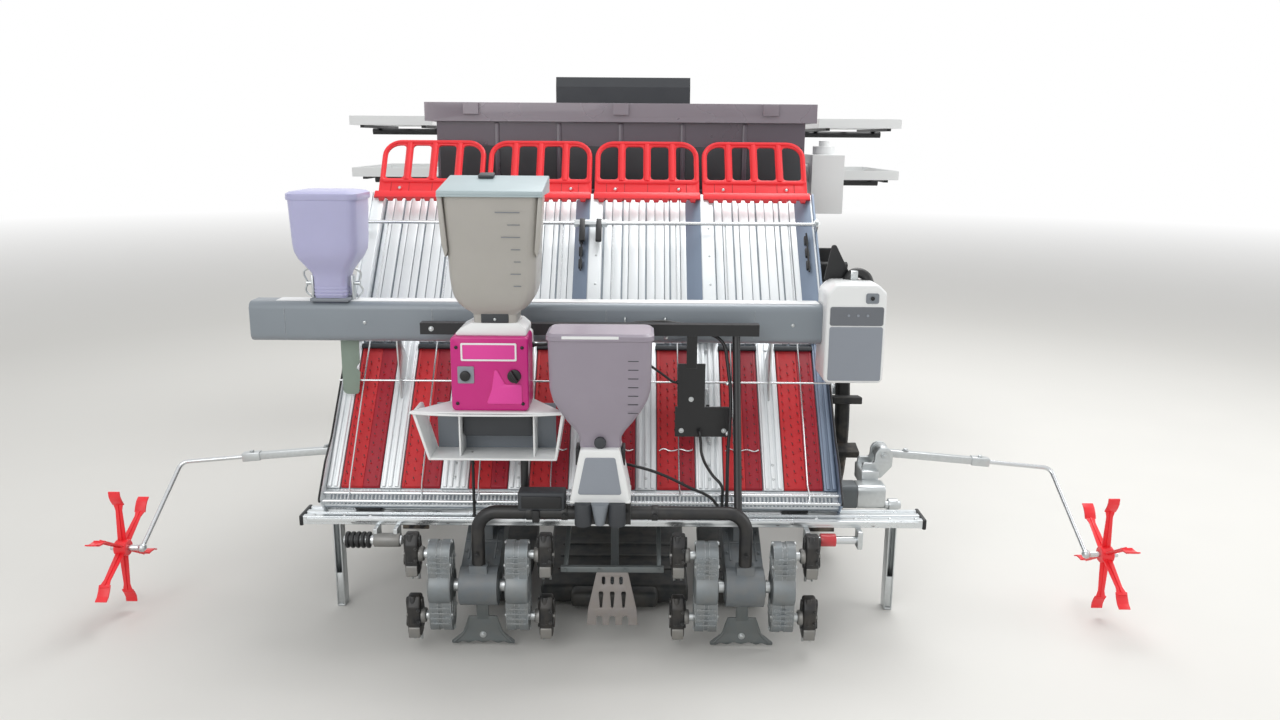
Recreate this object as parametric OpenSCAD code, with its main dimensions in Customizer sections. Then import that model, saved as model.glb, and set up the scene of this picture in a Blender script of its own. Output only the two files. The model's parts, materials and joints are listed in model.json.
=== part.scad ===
// Riding rice transplanter, four rows, standing parked on its wheels and stand legs.
// Millimetres, Z up, the machine's front towards +Y, its planting end towards -Y.
// Lengths inside base() are counted from the rear axle's line.

/* [Chassis] */
// Rear axle's place along Y, which centres the whole machine on the origin
rear_axle_y = -304; // [-500:1:0]
// Distance between the axles
wheelbase = 1050; // [900:5:1300]
// Middle of each wheel from the centre plane
wheel_x = 600; // [450:5:700]
// Radius over the rear lugs
rear_r = 425; // [350:1:500]
// Radius over the front lugs
front_r = 290; // [240:1:350]
// Width of the rear lugs
rear_w = 75; // [50:1:120]
// Width of the front tyre
front_w = 90; // [60:1:140]
// Height of the rear and front lugs
rear_lug_h = 46; // [25:1:60]
front_lug_h = 22; // [12:1:35]
// Thickness of the rear and front lugs
rear_lug_t = 22; // [12:1:35]
front_lug_t = 26; // [12:1:40]
// Depth of the tyres' rings under their lugs
rear_ring_t = 37; // [20:1:60]
front_ring_t = 53; // [30:1:80]
// Width of the tyres' rings
rear_ring_w = 34; // [20:1:60]
front_ring_w = 78; // [50:1:120]
// Middle of each frame rail
rail_x = 180; // [120:1:240]
// Underside and top of the frame rails
rail_z0 = 470; // [400:1:520]
rail_z1 = 520; // [450:1:570]
// Top of the step deck
deck_z = 625; // [550:1:700]
// Kingpin from the centre plane
king_x = 510; // [440:1:560]

/* [Lift linkage] */
// Pivots of the links on the chassis, back from the rear axle
link_y = -10; // [-60:1:40]
// Height of the lower pivot
link_z0 = 520; // [450:1:600]
// Height of the upper pivot
link_z1 = 720; // [650:1:800]
// Length of each link between its pivots
link_len = 520; // [400:1:650]
// Angle of the links below level at rest
link_ang = 25; // [10:1:35]
// Radius of the pins of the linkage
pin_r = 10; // [6:1:16]
// Lever on the upper link
lever_len = 120; // [80:1:160]

/* [Planting end] */
// Distance from row to row
row = 300; // [250:5:330]
// Planting rotor's axis
rotor_y = -820; // [-900:1:-700]
rotor_z = 166; // [120:1:220]
// Planet shaft from the rotor's axis
planet_r = 75; // [50:1:100]
// Rotor case's thickness across
rotor_w = 52; // [30:1:80]
// Rotor case's middle from the planting case's middle
rotor_dx = 86.6; // [60:0.1:120]
// Half width of a planting case
case_hw = 43; // [30:1:60]
// Main beam, rear face, front face, underside and top
beam_y0 = -590; // [-650:1:-500]
beam_y1 = -530; // [-600:1:-450]
beam_z0 = 265; // [200:1:300]
beam_z1 = 325; // [260:1:380]
// Half length of the seedling rail
rail_hw = 720; // [600:1:800]
// Height of the seedling rail's top
srail_z = 305; // [250:1:350]

/* [Seedling table] */
// Table's middle at rest, left of the centre plane
table_dx = -74; // [-78:1:202]
// Lower edge of the belts
table_y = -699; // [-760:1:-640]
table_z = 352; // [320:1:400]
// Slope of the table
table_ang = 48.3; // [40:0.1:60]
// Length of the table above that edge
table_len = 855; // [700:1:950]
// Length of the part of the belts that shows
belt_len = 377; // [250:1:500]
// Width of one feed belt
belt_w = 93; // [60:1:120]
// Belt's middle from the row's middle
belt_dx = 71; // [50:1:90]
// Slope and length of the extension grids
ext_ang = 56.2; // [50:0.1:70]
ext_len = 192; // [120:1:260]

/* [Markers and stands] */
// Marker pivot
mark_x = 680; // [600:1:720]
mark_y = -480; // [-560:1:-400]
mark_z = 380; // [300:1:450]
// Marker wheel's middle
mwheel_x = 1203; // [1000:1:1300]
mwheel_y = -640; // [-750:1:-500]
mwheel_z = 173; // [150:1:220]
// Marker wheel's radius
mwheel_r = 155; // [100:1:180]
// Stand leg's middle, pivot height
stand_x = 690; // [650:1:760]
stand_y = -580; // [-640:1:-520]
stand_z = 275; // [240:1:300]

/* [Body] */
// Bonnet's rear, front, half width and top
bonnet_y0 = 1050; // [1000:1:1100]
bonnet_y1 = 1440; // [1400:1:1480]
bonnet_hw = 190; // [160:1:230]
bonnet_z = 1000; // [900:1:1050]
// Engine's rear, front, half width and top
engine_y0 = 1080; // [1060:1:1120]
engine_y1 = 1380; // [1300:1:1400]
engine_hw = 150; // [120:1:170]
engine_z = 850; // [780:1:900]
// Deck's half width, rear, front and thickness
deck_hw = 540; // [480:1:560]
deck_y0 = 480; // [470:1:520]
deck_y1 = 1330; // [1250:1:1400]
deck_t = 25; // [15:1:40]
// Side step's top, rear and front
step_z = 385; // [330:1:450]
step_y0 = 450; // [440:1:470]
step_y1 = 690; // [640:1:740]
// Rack mast from the centre plane and along the deck
rack_x = 515; // [480:1:525]
rack_y = 1200; // [1100:1:1250]
// Heights of the lower and upper rack arms
rack_z0 = 990; // [900:1:1050]
rack_z1 = 1180; // [1100:1:1250]
// Tray's inner and outer edge, half length, height and wall
tray_x0 = 720; // [680:1:760]
tray_x1 = 1030; // [980:1:1080]
tray_hl = 300; // [250:1:320]
tray_h = 34; // [25:1:50]
tray_t = 6; // [4:1:10]
// Fertiliser hopper's half width, length, floor, top and wall
bin_hw = 535; // [480:1:560]
bin_len = 300; // [240:1:340]
bin_z0 = 1000; // [980:1:1020]
bin_z1 = 1245; // [1200:1:1280]
bin_t = 6; // [4:1:10]
// Space between the extension grids and the fertiliser hopper
bin_gap = 73; // [60:1:120]

/* [Seat and steering] */
// Steering wheel's middle and radius
sw_y = 945; // [850:1:1000]
sw_z = 1150; // [1050:1:1200]
sw_r = 175; // [150:1:220]
// Lean of the steering column from upright
sw_ang = 30; // [10:1:45]
// Seat hinge ahead of the lid's hinge, and its height
seat_dy = 379; // [370:1:420]
seat_z = 912; // [880:1:950]

/* [Hidden] */
$fn = 48;
run = 0.06;
gap = 5;
link_dy = link_len * cos(link_ang);
link_dz = link_len * sin(link_ang);
plant_y = link_y - link_dy;
plant_z0 = link_z0 - link_dz;
plant_z1 = link_z1 - link_dz;
lever_y = link_y + lever_len * sin(link_ang);
lever_z = link_z1 - lever_len * cos(link_ang);
cyl_z = link_z1 - lever_len * (1 + cos(link_ang)) / 2;
front_y = wheelbase;
tops = [table_y + table_len * cos(table_ang), table_z + table_len * sin(table_ang)];
rows = [-1.5, -0.5, 0.5, 1.5];
rear_in = rear_r - rear_lug_h - rear_ring_t;
front_in = front_r - front_lug_h - front_ring_t;
ext_turn = ext_ang - table_ang;
bin_y0 = round(tops[0] + ext_len * cos(ext_ang)) + bin_gap;
bin_y1 = bin_y0 + bin_len;
lid_y = bin_y1 + 16;
lid_z = bin_z1 - 5;
seat_y = lid_y + seat_dy;
seat_back = seat_y - 291;
rod_t1 = 500;
rod_t2 = table_len - 115;
beam_y = -569;
beam_z = 732;
beam_x0 = table_dx - 788;
beam_x1 = table_dx + 564;
stand_hw = 10;
grid_hw = 146;
tool_y = -660;
tool_z = 730;
bumper_y = 1452;
bumper_z = 495;
tow_y = 1484;
guard_z = 8;

cables = [
  [4, [[-184, -700, 700], [-160, -700, 700], [-140, -684, 703], [-110, -655, 710.05],
    [240, -655, 710.05], [262, -690, 650], [262, -745, 420], [262, -752, 345], [262, -752, srail_z]]],
  [3.5, [[200, -670, 490], [200, -684, 490], [203, -688, 470], [206, -700, 440], [228, -736, 404],
    [250, -750, 380], [251, -752, 350], [251, -752, srail_z]]],
  [3, [[-60, -655, 711.65], [-30, -655, 711.65], [-10, -662, 700], [60, -670, 662], [118, -672, 622],
    [140, -667, 606], [148, -667, 606]]],
  [3.5, [[-320, -752, 455], [-320, -752, srail_z]]],
  [3.5, [[10, -760, 430], [10, -745, 430], [60, -745, 424], [170, -750, 380], [240, -752, 335],
    [240, -752, srail_z]]]];

module base() translate([0, rear_axle_y, 0]) children();
module box(x0, x1, y0, y1, z0, z1)
  translate([min(x0, x1), min(y0, y1), min(z0, z1)])
    cube([abs(x1 - x0), abs(y1 - y0), abs(z1 - z0)]);
module xcyl(x0, x1, y, z, r)
  translate([min(x0, x1), y, z]) rotate([0, 90, 0]) cylinder(r = r, h = abs(x1 - x0));
module ycyl(y0, y1, x, z, r)
  translate([x, max(y0, y1), z]) rotate([90, 0, 0]) cylinder(r = r, h = abs(y1 - y0));
module zcyl(z0, z1, x, y, r)
  translate([x, y, min(z0, z1)]) cylinder(r = r, h = abs(z1 - z0));
module rod(p, q, r) {
  d = q - p;
  translate(p) rotate([0, acos(d[2] / norm(d)), atan2(d[1], d[0])]) cylinder(r = r, h = norm(d));
}
module slab_x(x0, x1)
  translate([min(x0, x1), 0, 0]) rotate([90, 0, 90]) linear_extrude(abs(x1 - x0)) children();
module slab_y(y0, y1)
  translate([0, max(y0, y1), 0]) rotate([90, 0, 0]) linear_extrude(abs(y1 - y0)) children();
module rsq(w, h, r) {
  square([w - 2 * r, h], center = true);
  square([w, h - 2 * r], center = true);
  for (sx = [-1, 1], sy = [-1, 1]) translate([sx * (w / 2 - r), sy * (h / 2 - r)]) circle(r);
}
module funnel(w0, d0, w1, d1, z0, z1) intersection() {
  slab_y(-max(d0, d1), max(d0, d1)) polygon([[-w0 / 2, z0], [w0 / 2, z0], [w1 / 2, z1], [-w1 / 2, z1]]);
  slab_x(-max(w0, w1), max(w0, w1)) polygon([[-d0 / 2, z0], [d0 / 2, z0], [d1 / 2, z1], [-d1 / 2, z1]]);
}
module bar2d(p, q, hw) {
  d = q - p;
  translate(p) rotate(atan2(d[1], d[0])) translate([0, -hw]) square([norm(d), 2 * hw]);
}
module on_table() base() translate([table_dx, table_y, table_z]) rotate([table_ang, 0, 0]) children();
module on_ext() base() translate([table_dx, tops[0], tops[1]]) rotate([ext_ang, 0, 0]) children();
module on_column() base() translate([0, sw_y, sw_z]) rotate([sw_ang, 0, 0]) children();

module main_frame() color("#2b2d30") base() {
  difference() {
    union() {
      for (s = [-1, 1]) {
        box(s * (rail_x - 25), s * (rail_x + 25), -30, 1400, rail_z0, rail_z1);
        for (y = [500, 1000]) box(s * 160, s * 200, y, y + 40, rail_z1, deck_z - 25);
        slab_x(s * 30, s * 42) {
          translate([-35, rail_z0]) square([105, link_z1 - rail_z0]);
          translate([link_y, link_z1]) circle(25);
        }
        ycyl(1400, bumper_y, s * rail_x, bumper_z, 15);
        box(s * 165, s * 195, bin_y0 + 135, bin_y0 + 165, rail_z1, bin_z0 - 95);
      }
      for (c = [[30, 70], [365, 405], [1350, 1400]])
        box(-156, 156, c[0], c[1], rail_z0, rail_z1);
      slab_x(-6, 6) {
        translate([1400, bumper_z - 17]) square([tow_y - 1400, 34]);
        translate([tow_y, bumper_z]) circle(16);
      }
      xcyl(-195, 195, bumper_y, bumper_z, 15);
      box(-25, 25, 370, 400, rail_z1, 622);
      box(-520, 520, bin_y0 + 130, bin_y0 + 170, bin_z0 - 95, bin_z0 - 55);
      xcyl(-128, 128, link_y, link_z0, pin_r);
      xcyl(-42, 42, link_y, link_z1, pin_r);
    }
    xcyl(-7, 7, tow_y, bumper_z, 11);
    for (s = [-1, 1]) ycyl(1340, 1410, s * 100, bumper_z, 6.5);
  }
}

module drive_case() color("#777d7d") base() {
  box(-130, 130, 780, 1150, 300, 520);
  for (s = [-1, 1]) box(s * 130, s * 155, 820, 1100, 478, 512);
  slab_x(-110, 110) translate([0, 0]) polygon([[780, 320], [720, 360], [720, 440], [780, 500]]);
  ycyl(60, 720, 0, 400, 24);
  box(-70, 70, -45, 60, 372, 465);
  for (s = [-1, 1]) {
    xcyl(s * 70, s * 540, 0, rear_r, 34);
    xcyl(s * 70, s * 100, 0, rear_r, 46);
    box(s * 150, s * 210, -32, 32, rear_r, rail_z0);
    xcyl(s * 540, s * 556, 0, rear_r, 52);
    xcyl(s * 556, s * 652, 0, rear_r, 16);
  }
}

module front_axle_case() color("#777d7d") base() for (s = [-1, 1]) {
  xcyl(s * 130, s * 480, front_y, 380, 38);
  xcyl(s * 130, s * 160, front_y, 380, 55);
  zcyl(335, 428, s * king_x, front_y, 44);
  zcyl(290, 335, s * king_x, front_y, 16);
}

module engine_block() color("#54585a") base() {
  box(-engine_hw, engine_hw, engine_y0, engine_y1, rail_z1, engine_z);
  for (s = [-1, 1]) box(s * engine_hw, s * (rail_x + 20), 1290, 1340, rail_z1, rail_z1 + 40);
}

module bonnet_side(t)
  polygon([[bonnet_y0 + t, deck_z - 2 * t], [bonnet_y1 - t, deck_z - 2 * t],
    [bonnet_y1 - t, bonnet_z - 130], [bonnet_y1 - 60, bonnet_z - 50 - t], [bonnet_y0 + t, bonnet_z - t]]);
module bonnet() color("#d02732") base() difference() {
  slab_x(-bonnet_hw, bonnet_hw) bonnet_side(0);
  slab_x(4 - bonnet_hw, bonnet_hw - 4) bonnet_side(4);
}

module front_mask() color("#3a3d40") base() {
  difference() {
    box(2 - bonnet_hw, bonnet_hw - 2, bonnet_y1, bonnet_y1 + 16, 530, bonnet_z - 132);
    for (z = [560 : 24 : 700]) box(-90, 90, bonnet_y1 + 6, bonnet_y1 + 20, z, z + 12);
  }
  for (s = [-1, 1]) ycyl(bonnet_y1 + 16, bonnet_y1 + 26, s * (bonnet_hw - 55), 780, 38);
}

module deck() color("#3c3f42") base() {
  difference() {
    box(-deck_hw, deck_hw, deck_y0, deck_y1, deck_z - deck_t, deck_z);
    box(-engine_hw - 15, engine_hw + 15, engine_y0 - 20, deck_y1 + 1, deck_z - deck_t - 1, deck_z + 1);
  }
  for (s = [-1, 1]) {
    for (y = [deck_y0 + 2, step_y1 - 25])
      box(s * (deck_hw - 20), s * deck_hw, y, y + 20, step_z, deck_z - deck_t);
    box(s * 430, s * 700, step_y0, step_y1, step_z - 10, step_z);
    box(s * (deck_hw - 4), s * deck_hw, deck_y0, deck_y1, deck_z, deck_z + 12);
  }
}

module seat_pedestal() color("#33363a") base() {
  slab_x(-190, 190) polygon([[seat_y - 333, deck_z], [seat_y - 25, deck_z], [seat_y + 25, seat_z - 52],
    [seat_y + 25, seat_z - 22], [seat_y - 333, seat_z - 22]]);
  for (s = [-1, 1]) slab_x(s * 100, s * 110) {
    translate([seat_y - 10, seat_z - 22]) square([20, 22]);
    translate([seat_y, seat_z]) circle(10);
  }
  xcyl(-100, 100, seat_y, seat_z, 6);
}

module seat_frame() color("#1d1e20") base() {
  difference() {
    union() {
      xcyl(-95, 95, seat_y, seat_z, 11);
      box(-90, 90, seat_y - 5, seat_y + 5, seat_z + 10, seat_z + 14);
      box(-200, 200, seat_back - 29, seat_y + 17, seat_z + 14, seat_z + 24);
    }
    xcyl(-99, 99, seat_y, seat_z, 6 + run);
  }
  slab_x(-215, 215) translate([seat_back, seat_z + 24])
    polygon([[-54, 0], [0, 0], [0, 74], [-6, 384], [-34, 414], [-59, 414], [-69, 384]]);
}

module seat_cushion() color("#1d1e20") base() slab_x(-225, 225) {
  translate([seat_back + 1, seat_z + 24]) square([290, 64]);
  translate([seat_y, seat_z + 56]) circle(32);
}

module dash_console() color("#33363a") base() {
  slab_x(-150, 150) polygon([[960, 625], [1050, 625], [1050, 1000], [1010, 1036], [985, 1036], [945, 985]]);
  translate([0, sw_y, sw_z]) rotate([sw_ang, 0, 0]) {
    translate([0, 0, -150]) cylinder(r = 24, h = 120);
    translate([0, 0, -31]) cylinder(r = 10, h = 40);
  }
  for (k = [[-120, 1000, 1125, 16], [120, 990, 1110, 14], [85, 960, 1090, 10]]) {
    rod([k[0], 995, 1020], [k[0], k[1], k[2]], 6);
    translate([k[0], k[1], k[2]]) sphere(k[3]);
  }
  for (k = [-1, 1]) {
    rod([k * 110, 960, 700], [k * 150, 900, 670], 7);
    translate([k * 150, 895, 668]) rotate([25, 0, 0]) cube([60, 12, 70], center = true);
  }
}

module steering_wheel() color("#1b1c1e") on_column() {
  rotate_extrude() translate([sw_r - 11, 0]) circle(11);
  difference() {
    union() {
      translate([0, 0, -20]) cylinder(r = 26, h = 34);
      for (i = [0 : 2]) rotate([0, 0, 90 + i * 120]) translate([20, -11, -4]) cube([sw_r - 30, 22, 8]);
    }
    translate([0, 0, -29]) cylinder(r = 10 + run, h = 39);
  }
}

module fertiliser_hopper() color("#8e8089") base() {
  difference() {
    box(-bin_hw, bin_hw, bin_y0, bin_y1, bin_z0, bin_z1);
    box(bin_t - bin_hw, bin_hw - bin_t, bin_y0 + bin_t, bin_y1 - bin_t, bin_z0 + 30, bin_z1 + 5);
  }
  for (s = [-1, 1]) slab_x(s * 290, s * 305) {
    translate([bin_y1 - 1, lid_z - 8]) square([lid_y - bin_y1 + 1, 16]);
    translate([lid_y, lid_z]) circle(8);
  }
  xcyl(-292, 292, lid_y, lid_z, 4);
}

module hopper_lid() color("#8f8a94") base() {
  difference() {
    union() {
      box(-bin_hw - 30, bin_hw + 30, bin_y0 - 20, lid_y + 10, bin_z1 + 5, bin_z1 + 13);
      for (s = [-1, 1])
        box(s * (bin_hw + 24), s * (bin_hw + 30), bin_y0 - 20, bin_y1 - 10, bin_z1 - 40, bin_z1 + 5);
      box(-bin_hw - 30, bin_hw + 30, bin_y0 - 20, bin_y0 - 14, bin_z1 - 40, bin_z1 + 5);
      xcyl(-285, 285, lid_y, lid_z, 7.5);
      box(-285, 285, lid_y - 3, lid_y + 3, lid_z + 5, lid_z + 10);
      for (x = [-430, 0, 430]) box(x - 22, x + 22, bin_y0 - 34, bin_y0 - 20, bin_z1 - 20, bin_z1 + 11);
    }
    xcyl(-289, 289, lid_y, lid_z, 4 + run);
  }
}

module metering_units() color("#232427") base() for (k = rows) {
  box(k * row - 62, k * row + 62, bin_y0 + 50, bin_y0 + 250, bin_z0 - 55, bin_z0);
  box(k * row - 40, k * row + 40, bin_y0 + 10, bin_y0 + 50, bin_z0 - 45, bin_z0 - 5);
  zcyl(bin_z0 - 120, bin_z0 - 55, k * row, bin_y0 + 200, 22);
}

module blower_housing() color("#9a9ea1") base() {
  box(bin_hw + 38, bin_hw + 135, bin_y0 + 80, bin_y0 + 250, bin_z0 - 60, bin_z0 + 115);
  xcyl(bin_hw, bin_hw + 38, bin_y0 + 165, bin_z0 + 60, 28);
  zcyl(bin_z0 + 115, bin_z0 + 140, bin_hw + 86, bin_y0 + 165, 34);
  zcyl(bin_z0 + 140, bin_z0 + 156, bin_hw + 86, bin_y0 + 165, 16);
}

module rack_frames() color("#2b2d30") base() for (s = [-1, 1]) {
  zcyl(deck_z, rack_z1 + 10, s * rack_x, rack_y, 17);
  zcyl(deck_z, deck_z + 8, s * (rack_x - 15), rack_y, 34);
  for (z = [rack_z0, rack_z1]) {
    xcyl(s * rack_x, s * (tray_x1 - 10), rack_y, z, 12);
    for (x = [tray_x0 + 40, tray_x1 - 40])
      box(s * (x - 8), s * (x + 8), rack_y + 30 - tray_hl, rack_y - 30 + tray_hl, z + 12, z + 22);
  }
}

module rack_trays() color("#dfe1e3") base() for (s = [-1, 1], z = [rack_z0 + 22, rack_z1 + 22]) {
  difference() {
    box(s * tray_x0, s * tray_x1, rack_y - tray_hl, rack_y + tray_hl, z, z + tray_h);
    box(s * (tray_x0 + tray_t), s * (tray_x1 - tray_t), rack_y - tray_hl + tray_t, rack_y + tray_hl - tray_t,
      z + 5, z + tray_h + 1);
    for (y = [rack_y - tray_hl + 30 : 60 : rack_y + tray_hl - 50], x = [tray_x0 + 15, tray_x0 + 165])
      box(s * x, s * (x + 130), y, y + 30, z - 1, z + 6);
  }
}

module lift_cylinder() color("#54585a") base() difference() {
  union() {
    ycyl(120, 370, 0, cyl_z, 28);
    ycyl(112, 120, 0, cyl_z, 22);
  }
  ycyl(100, 320, 0, cyl_z, 12 + run);
}

module lift_rod() color("#c9cdd0") base() difference() {
  union() {
    ycyl(lever_y + 20, 312, 0, cyl_z, 12);
    slab_x(-10, 10) {
      translate([lever_y, cyl_z]) rsq(46, 56, 15);
    }
  }
  slab_x(-11, 11) translate([lever_y, cyl_z]) {
    translate([-8.8, -7]) square([17.6, 14]);
    for (d = [-7, 7]) translate([0, d]) circle(8.8);
  }
}

module knuckle(s) base() {
  difference() {
    zcyl(238, 333, s * king_x, front_y, 45);
    zcyl(285, 340, s * king_x, front_y, 16 + run);
  }
  xcyl(s * 548, s * 560, front_y, front_r, 34);
  xcyl(s * 550, s * 640, front_y, front_r, 15);
  box(s * 495, s * 525, front_y - 120, front_y - 40, 300, 318);
}
module knuckle_left() color("#777d7d") knuckle(-1);
module knuckle_right() color("#777d7d") knuckle(1);

module tyre(s, y, r, r_in, w, ring_w, lugs, lug_h, lug_t) base()
  translate([s * wheel_x, y, r]) rotate([0, 90, 0]) {
    rotate_extrude() translate([r_in, -ring_w / 2]) square([r - lug_h - r_in, ring_w]);
    for (i = [0 : lugs - 1]) rotate([0, 0, i * 360 / lugs])
      translate([r - lug_h - 4, -lug_t / 2, -w / 2]) cube([lug_h + 4, lug_t, w]);
  }
module rim(s, y, r, r_out, w, hub_r, hub_w, bore_r, spokes) base()
  translate([s * wheel_x, y, r]) rotate([0, 90, 0]) difference() {
    union() {
      rotate_extrude() translate([r_out - 14, -w / 2]) square([14, w]);
      cylinder(r = hub_r, h = hub_w, center = true);
      for (i = [0 : spokes - 1]) rotate([0, 0, (i + 0.3) * 360 / spokes]) translate([hub_r - 8, 0, 0])
        rotate([0, 90, 0]) cylinder(r = 9, h = r_out - hub_r + 1);
    }
    cylinder(r = bore_r, h = hub_w + 2, center = true);
  }
module front_tyre_left() color("#232425")
  tyre(-1, front_y, front_r, front_in, front_w, front_ring_w, 16, front_lug_h, front_lug_t);
module front_tyre_right() color("#232425")
  tyre(1, front_y, front_r, front_in, front_w, front_ring_w, 16, front_lug_h, front_lug_t);
module rear_tyre_left() color("#232425")
  tyre(-1, 0, rear_r, rear_in, rear_w, rear_ring_w, 18, rear_lug_h, rear_lug_t);
module rear_tyre_right() color("#232425")
  tyre(1, 0, rear_r, rear_in, rear_w, rear_ring_w, 18, rear_lug_h, rear_lug_t);
module front_rim_left() color("#c9cdd0")
  rim(-1, front_y, front_r, front_in, front_ring_w - 8, 36, 62, 15 + run, 6);
module front_rim_right() color("#c9cdd0")
  rim(1, front_y, front_r, front_in, front_ring_w - 8, 36, 62, 15 + run, 6);
module rear_rim_left() color("#c9cdd0") rim(-1, 0, rear_r, rear_in, rear_ring_w - 4, 40, 70, 16 + run, 10);
module rear_rim_right() color("#c9cdd0") rim(1, 0, rear_r, rear_in, rear_ring_w - 4, 40, 70, 16 + run, 10);

module lower_links() color("#2b2d30") base() difference() {
  union() {
    for (s = [-1, 1]) slab_x(s * 100, s * 112) {
      bar2d([link_y, link_z0], [plant_y, plant_z0], 14);
      for (p = [[link_y, link_z0], [plant_y, plant_z0]]) translate(p) circle(21);
    }
    translate([0, (link_y + plant_y) / 2, (link_z0 + plant_z0) / 2]) rotate([-link_ang, 0, 0])
      cube([202, 12, 20], center = true);
  }
  for (p = [[link_y, link_z0], [plant_y, plant_z0]]) xcyl(-120, 120, p[0], p[1], pin_r + run);
}

module upper_link() color("#2b2d30") base() difference() {
  union() {
    slab_x(-12, 12) bar2d([link_y, link_z1], [plant_y, plant_z1], 13);
    xcyl(-25, 25, link_y, link_z1, 21);
    xcyl(-16, 16, plant_y, plant_z1, 20);
    for (s = [-1, 1]) slab_x(s * 15, s * 25) {
      bar2d([link_y, link_z1], [lever_y, lever_z], 14);
      translate([lever_y, lever_z]) circle(15);
    }
    xcyl(-25, 25, lever_y, lever_z, 8);
  }
  xcyl(-30, 30, link_y, link_z1, pin_r + run);
  xcyl(-30, 30, plant_y, plant_z1, pin_r + run);
}

module planter_frame() color("#4a4e50") base() {
  box(-670, 670, beam_y0, beam_y1, beam_z0, beam_z1);
  for (s = [-1, 1]) {
    slab_x(s * 80, s * 92) polygon([[beam_y1, beam_z0], [-459, beam_z0], [-459, 516], [-474, 522],
      [-492, 510], [beam_y1, 462]]);
    xcyl(s * 92, s * 120, plant_y, plant_z0, pin_r);
    xcyl(s * 670, s * (stand_x + 19), stand_y, stand_z, pin_r);
    box(s * 620, s * 664, beam_y1, mark_y + 32, 305, 345);
    for (y = [mark_y - 32, mark_y + 22]) slab_y(y, y + 10) {
      translate([s * 650 - 25, 320]) square([50, 40]);
      translate([s * mark_x - 22, 340]) square([44, 40]);
      translate([s * mark_x, mark_z]) circle(22);
    }
    ycyl(mark_y - 32, mark_y + 32, s * mark_x, mark_z, 9);
    slab_x(s * 455, s * 470) {
      bar2d([beam_y1 - 10, 300], [-262, 700], 14);
      translate([-262, 700]) circle(14);
    }
    box(s * 455, s * 470, beam_y1, beam_y1 + 40, 290, 325);
  }
  xcyl(-92, 92, plant_y, plant_z1, pin_r);
  xcyl(-470, 470, -262, 700, 12);
}

module planting_cases() color("#8d9394") base() for (s = [-1, 1]) {
  difference() {
    union() {
      slab_x(s * (row - case_hw), s * (row + case_hw)) difference() {
        union() {
          bar2d([rotor_y, rotor_z], [-560, 300], 34);
          translate([rotor_y, rotor_z]) circle(45);
        }
        translate([beam_y0, 0]) square([200, 500]);
      }
      box(s * 280, s * 320, -846, -814, 200, 222);
      box(s * 280, s * 320, -745, -710, 230, 285);
    }
    xcyl(s * 250, s * 350, rotor_y, rotor_z, 14 + run);
  }
}

module table_rail() color("#c9ccce") base() difference() {
  box(-rail_hw, rail_hw, -760, -690, 285, srail_z);
  for (y = [-745, -715]) box(-rail_hw - 1, rail_hw + 1, y, y + 14, srail_z - 4, srail_z + 1);
}

module floats() color("#3d4042") base() {
  box(-108, 108, -640, -600, 20, 62);
  box(-185, 185, -600, -260, 14, 62);
  slab_x(-185, 185) polygon([[-260, 14], [-170, 60], [-170, 86], [-260, 62]]);
  for (s = [-1, 1]) {
    box(s * 225, s * 375, -600, -300, 14, 58);
    slab_x(s * 225, s * 375) polygon([[-300, 14], [-220, 56], [-220, 80], [-300, 58]]);
    box(s * 290, s * 310, -575, -545, 58, beam_z0);
  }
  box(-12, 12, -575, -545, 62, beam_z0);
}

module soil_plates() color("#6b7070") base() {
  for (s = [-1, 1]) {
    slab_y(-800, -792) translate([s * 300, guard_z]) polygon([[-73, 0], [-60, 0], [-35, 8], [35, 8],
      [60, 0], [73, 0], [73, 8], [46, 30], [34, 70], [-34, 70], [-46, 30], [-73, 8]]);
    box(s * 286, s * 314, -800, -792, guard_z + 70, 125.6);
    ycyl(-806, -800, s * 300, guard_z + 22, 8);
  }
  slab_y(-803, -798) difference() {
    polygon([[-59, 59], [59, 59], [56, 98], [36, 191], [-36, 191], [-56, 98]]);
    for (x = [-30, 0, 30]) {
      translate([x - 7, 50]) square([14, 32]);
      translate([x, 82]) circle(7);
      translate([x * 0.7 - 4, 160]) square([8, 20]);
    }
  }
  box(-118, 118, -806, -794, 191, 205);
  for (s = [-1, 1]) slab_x(s * 102, s * 112)
    polygon([[-794, 191], [-794, 205], [beam_y0, beam_z1 - 20], [beam_y0, beam_z0 + 5]]);
}

module tool_frame() color("#191b1d") base() {
  xcyl(-255, 255, -830, 346, 15);
  for (s = [-1, 1]) {
    translate([s * 255, -830, 301]) rotate([90, 0, 0]) rotate([0, 0, s > 0 ? 0 : 90])
      rotate_extrude(angle = 90) translate([45, 0]) circle(15);
    zcyl(222, 301, s * 300, -830, 15);
  }
  rod([282, -822, 330], [282, -660, 725], 9);
  ycyl(-830, -761, -200, 346, 9);
  zcyl(346, 455, -200, -770, 9);
  box(-446, 334, tool_y - 13.5, tool_y + 13.5, tool_z - 13.5, tool_z + 13.5);
  box(148, 212, -670, -664, 543, 650);
  box(143, 276, -670, -664, 475, 547);
  box(168, 192, -671, -665, 640, 720);
  box(-60, 42, -848, -800, 325, 383);
}

module cable(r, path) {
  last = len(path) - 1;
  for (i = [1 : last]) {
    along = (path[i] - path[i - 1]) / norm(path[i] - path[i - 1]);
    rod(path[i - 1] + (i > 1 ? 1.1 * r : 0) * along, path[i] - (i < last ? 1.1 * r : 0) * along, r);
  }
  if (last > 1) for (i = [1 : last - 1])
    xcyl(path[i][0] - 1.5 * r, path[i][0] + 1.5 * r, path[i][1], path[i][2], 1.6 * r);
}
module harness() color("#141517") base() for (c = cables) cable(c[0], c[1]);

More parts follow.
